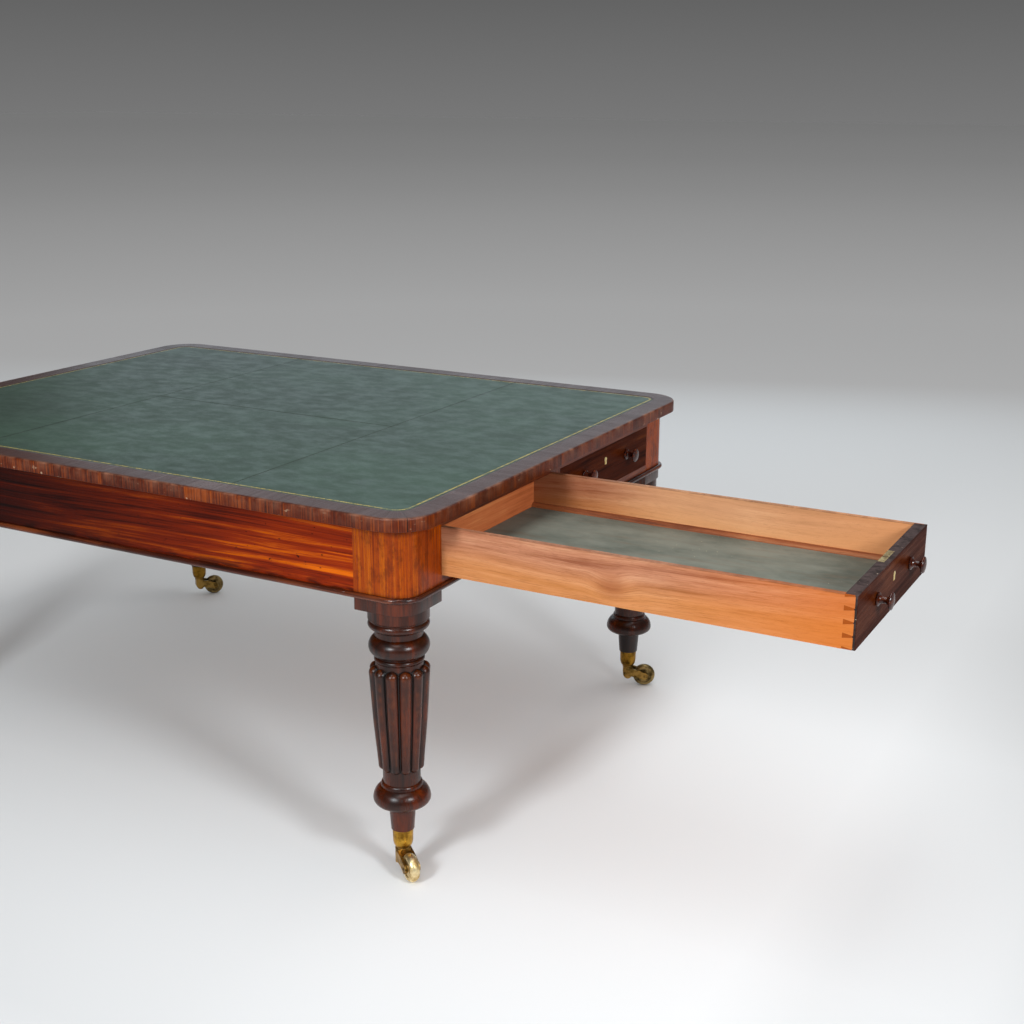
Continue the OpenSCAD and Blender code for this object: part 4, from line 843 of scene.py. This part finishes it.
# Drawer boxes
# Sides and backs of pale reddish cedar, dovetailed at the corners, with a thin bottom in grooves and small
# quarter-round slips beside it. Handling has browned the front ends of the sides and soiled their upper
# edges, and the nearest side has a knot.
knot_place, knot_size, knot_flatness = (0.725, 0.0, 0.96), 0.065, 1.5
near_face, inner_faces = (-0.3, -0.35), (0.07, 0.05)
handled_reach, shade_reach, glow_start, glow_full = 0.34, 0.3, 0.15, 0.35
for drawer, shift in (("near_drawer", 0), ("far_drawer", 1)):
    low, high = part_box(drawer + "_sides")
    material, bench = new_finish(drawer + "_cedar")
    parts = bench.split(bench.where)
    bow = bench.noise(bench.place(bench.where, (1.4, 1, 5), (shift, 0, 0)), 1.0, 1)
    bow = bench.times(bench.less(bow, 0.5), 0.08)
    flattened = bench.join(parts[0], 0.0, bench.times(parts[2], knot_flatness))
    to_knot = bench.vector("DISTANCE", flattened, knot_place)
    outside = bench.step(parts[1], *near_face)
    swirl = bench.times(bench.step(to_knot, knot_size, 0.0), outside, 0.015)
    along = bench.join(parts[0], parts[1], bench.plus(parts[2], bench.plus(bow, swirl)))
    figure = wood(bench, along, "8a4c30", "b67858", "cc9674", wander=0.04, streaks=60, patch=0.3, pores=0.4)
    height_share = bench.step(bench.plus(parts[2], bow), low.z + 0.02, low.z + 0.075)
    colour = bench.mix(bench.times(bench.less(1.0, height_share), 0.5), figure["Color"], "d4883a")
    lines = bench.step(bench.noise(along, (16, 400, 420), 3, 0.6), 0.5, 0.68)
    colour = bench.mix(bench.times(lines, 0.34), colour, "84481c")
    colour = bench.mix(bench.times(bench.step(to_knot, 0.046, 0.004, 0.0, 0.55), outside), colour, "8c4624")
    front_end = bench.slope(parts[0], high.x - handled_reach, high.x - 0.02)
    handled = bench.plus(front_end, bench.times(bench.less(figure["Tone"], 0.5), 0.3), clamp=True)
    colour = bench.mix(bench.times(handled, 0.66), colour, "cc6608")
    # Painted shade darkens the inner faces towards the back of the drawer, and painted light brightens them
    # further forward.
    inner = bench.step(bench.absolute(parts[1]), *inner_faces)
    shaded = bench.times(inner, bench.step(parts[0], low.x + shade_reach, low.x))
    colour = bench.mix(bench.times(shaded, 0.6), colour, "7c3a18")
    glow = bench.times(inner, bench.step(parts[0], low.x + glow_start, low.x + glow_full))
    colour = bench.mix(bench.times(glow, 0.45), colour, "eeb480")
    upper_edge = bench.step(parts[2], high.z - 0.0025, high.z - 0.0005)
    soiled = bench.times(upper_edge, bench.step(bench.noise(bench.where, 30, 3, 0.6), 0.3, 0.6, 0.2, 0.55))
    colour = bench.mix(soiled, colour, "5a3620")
    roughness = bench.step(figure["Tone"], 0.0, 1.0, 0.62, 0.5)
    bench.surface(colour, roughness, figure["Height"], 0.0003, shine=0.2)
    dress(material, drawer + "_sides", drawer + "_bottom")

    material, bench = new_finish(drawer + "_slip_cedar")
    figure = wood(
        bench, bench.where, "5c2c18", "8c4c2a", "a8683e", wander=0.02, streaks=90, patch=0.4, pores=0.3,
    )
    roughness = bench.step(figure["Tone"], 0.0, 1.0, 0.6, 0.45)
    bench.surface(figure["Color"], roughness, figure["Height"], 0.0003, shine=0.2)
    dress(material, drawer + "_slips")

    material, bench = new_finish(drawer + "_back_cedar")
    along = bench.place(bench.where, turn=(0, 0, -math.pi / 2))
    figure = wood(bench, along, "9c4822", "cc7040", "de8a52", wander=0.03, streaks=60, patch=0.3, pores=0.15)
    roughness = bench.step(figure["Tone"], 0.0, 1.0, 0.62, 0.5)
    bench.surface(figure["Color"], roughness, figure["Height"], 0.0003, shine=0.2)
    dress(material, drawer + "_back")

# Drawer linings
# A sheet of green lining paper pasted on the bottom, greyed, rubbed and stained, with pale crumbs of wood
# on it.
material, bench = new_finish("worn_lining")
cloud = bench.noise(bench.where, (3.5, 6, 1), 5, 0.65)
streak = bench.noise(bench.where, (9, 60, 1), 4, 0.6)
colour = bench.mix(bench.step(cloud, 0.32, 0.68), "4a5046", "74766a")
colour = bench.mix(bench.step(streak, 0.5, 0.75, 0.0, 0.5), colour, "6a5a48")
crumb = bench.step(bench.cells(bench.where, 60.0), 0.07, 0.03)
crumb = bench.times(crumb, bench.step(bench.noise(bench.where, 5, 2), 0.5, 0.62))
colour = bench.mix(crumb, colour, "d8c8a8")
bench.surface(colour, bench.step(cloud, 0.3, 0.7, 0.8, 0.65), bench.plus(streak, crumb), 0.0004)
dress(material, "near_drawer_lining", "far_drawer_lining")

# Drawer fronts
# Solid mahogany with a plain polished face and a dark, rubbed top edge. The tails of the sides lap into its
# ends behind the face, and the end grain of its pins shows between them.
face_edge, edge_band, lap = (0.0004, 0.0012), (0.004, 0.002), (0.0055, 0.0065)
for drawer in ("near_drawer", "far_drawer"):
    low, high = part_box(drawer + "_front")
    material, bench = new_finish(drawer + "_front_mahogany")
    parts = bench.split(bench.where)
    along = bench.place(bench.where, turn=(0, 0, -math.pi / 2))
    figure = wood(bench, along, "200702", "421604", "602c0c", wander=0.03, streaks=60, patch=0.3, pores=0.5)
    behind = bench.step(parts[0], high.x - face_edge[0], high.x - face_edge[1])
    upper = bench.times(behind, bench.step(parts[2], high.z - edge_band[0], high.z - edge_band[1]))
    middle_y, half_y = (low.y + high.y) / 2, (high.y - low.y) / 2
    from_middle = bench.absolute(bench.less(parts[1], middle_y))
    at_side = bench.step(from_middle, half_y - edge_band[0], half_y - edge_band[1])
    worn = bench.times(behind, bench.larger(upper, at_side))
    slate = bench.mix(bench.step(bench.noise(bench.where, 55, 4, 0.65), 0.35, 0.65), "302624", "4c3e3c")
    colour = bench.mix(worn, figure["Color"], slate)
    pins = bench.times(at_side, bench.step(parts[0], high.x - lap[0], high.x - lap[1]))
    colour = bench.mix(pins, colour, "9c4c1c")
    specks = bench.step(bench.noise(bench.where, 190, 2), 0.73, 0.76)
    chips = bench.times(bench.less(worn, pins, clamp=True), specks)
    colour = bench.mix(chips, colour, "d8c0a4")
    tone = bench.less(figure["Tone"], worn)
    polish(bench, colour, figure["Height"], tone, smooth=0.3, spread=0.2, shine=0.015)
    dress(material, drawer + "_front")

# Knobs
# Turned mahogany knobs with a flange, a slim neck and a slightly domed disc, dark and shiny from handling.
material, bench = new_finish("knob_mahogany")
figure = wood(
    bench, bench.where, "1a0703", "3c140a", "6e3216", wander=0.01, streaks=150, patch=0.4, pores=0.3,
)
polish(bench, figure["Color"], figure["Height"], figure["Tone"], smooth=0.14, spread=0.12, shine=0.45)
dress(material, "near_drawer_knobs", "far_drawer_knobs")

# Locks
# Brass drawer locks let into the back of each front, each with a sliding bolt, and an escutcheon of bright
# brass thread round each keyhole.
material, bench = new_finish("lock_brass")
film = bench.noise(bench.where, 80, 4, 0.6)
colour = bench.mix(bench.step(film, 0.38, 0.66), "c8a860", "7a5c2c")
bench.surface(colour, bench.step(film, 0.3, 0.7, 0.24, 0.5), film, 0.0001, metal=1.0)
dress(material, *(f"{side}_drawer_{piece}" for side in ("near", "far") for piece in ("lock", "bolt")))

material, bench = new_finish("thread_brass")
film = bench.noise(bench.where, 120, 3, 0.6)
colour = bench.mix(bench.step(film, 0.45, 0.7), "ffe9a8", "d8b060")
bench.surface(colour, bench.step(film, 0.3, 0.7, 0.3, 0.5), film, 0.0001, metal=0.6)
dress(material, "near_drawer_escutcheon", "far_drawer_escutcheon")
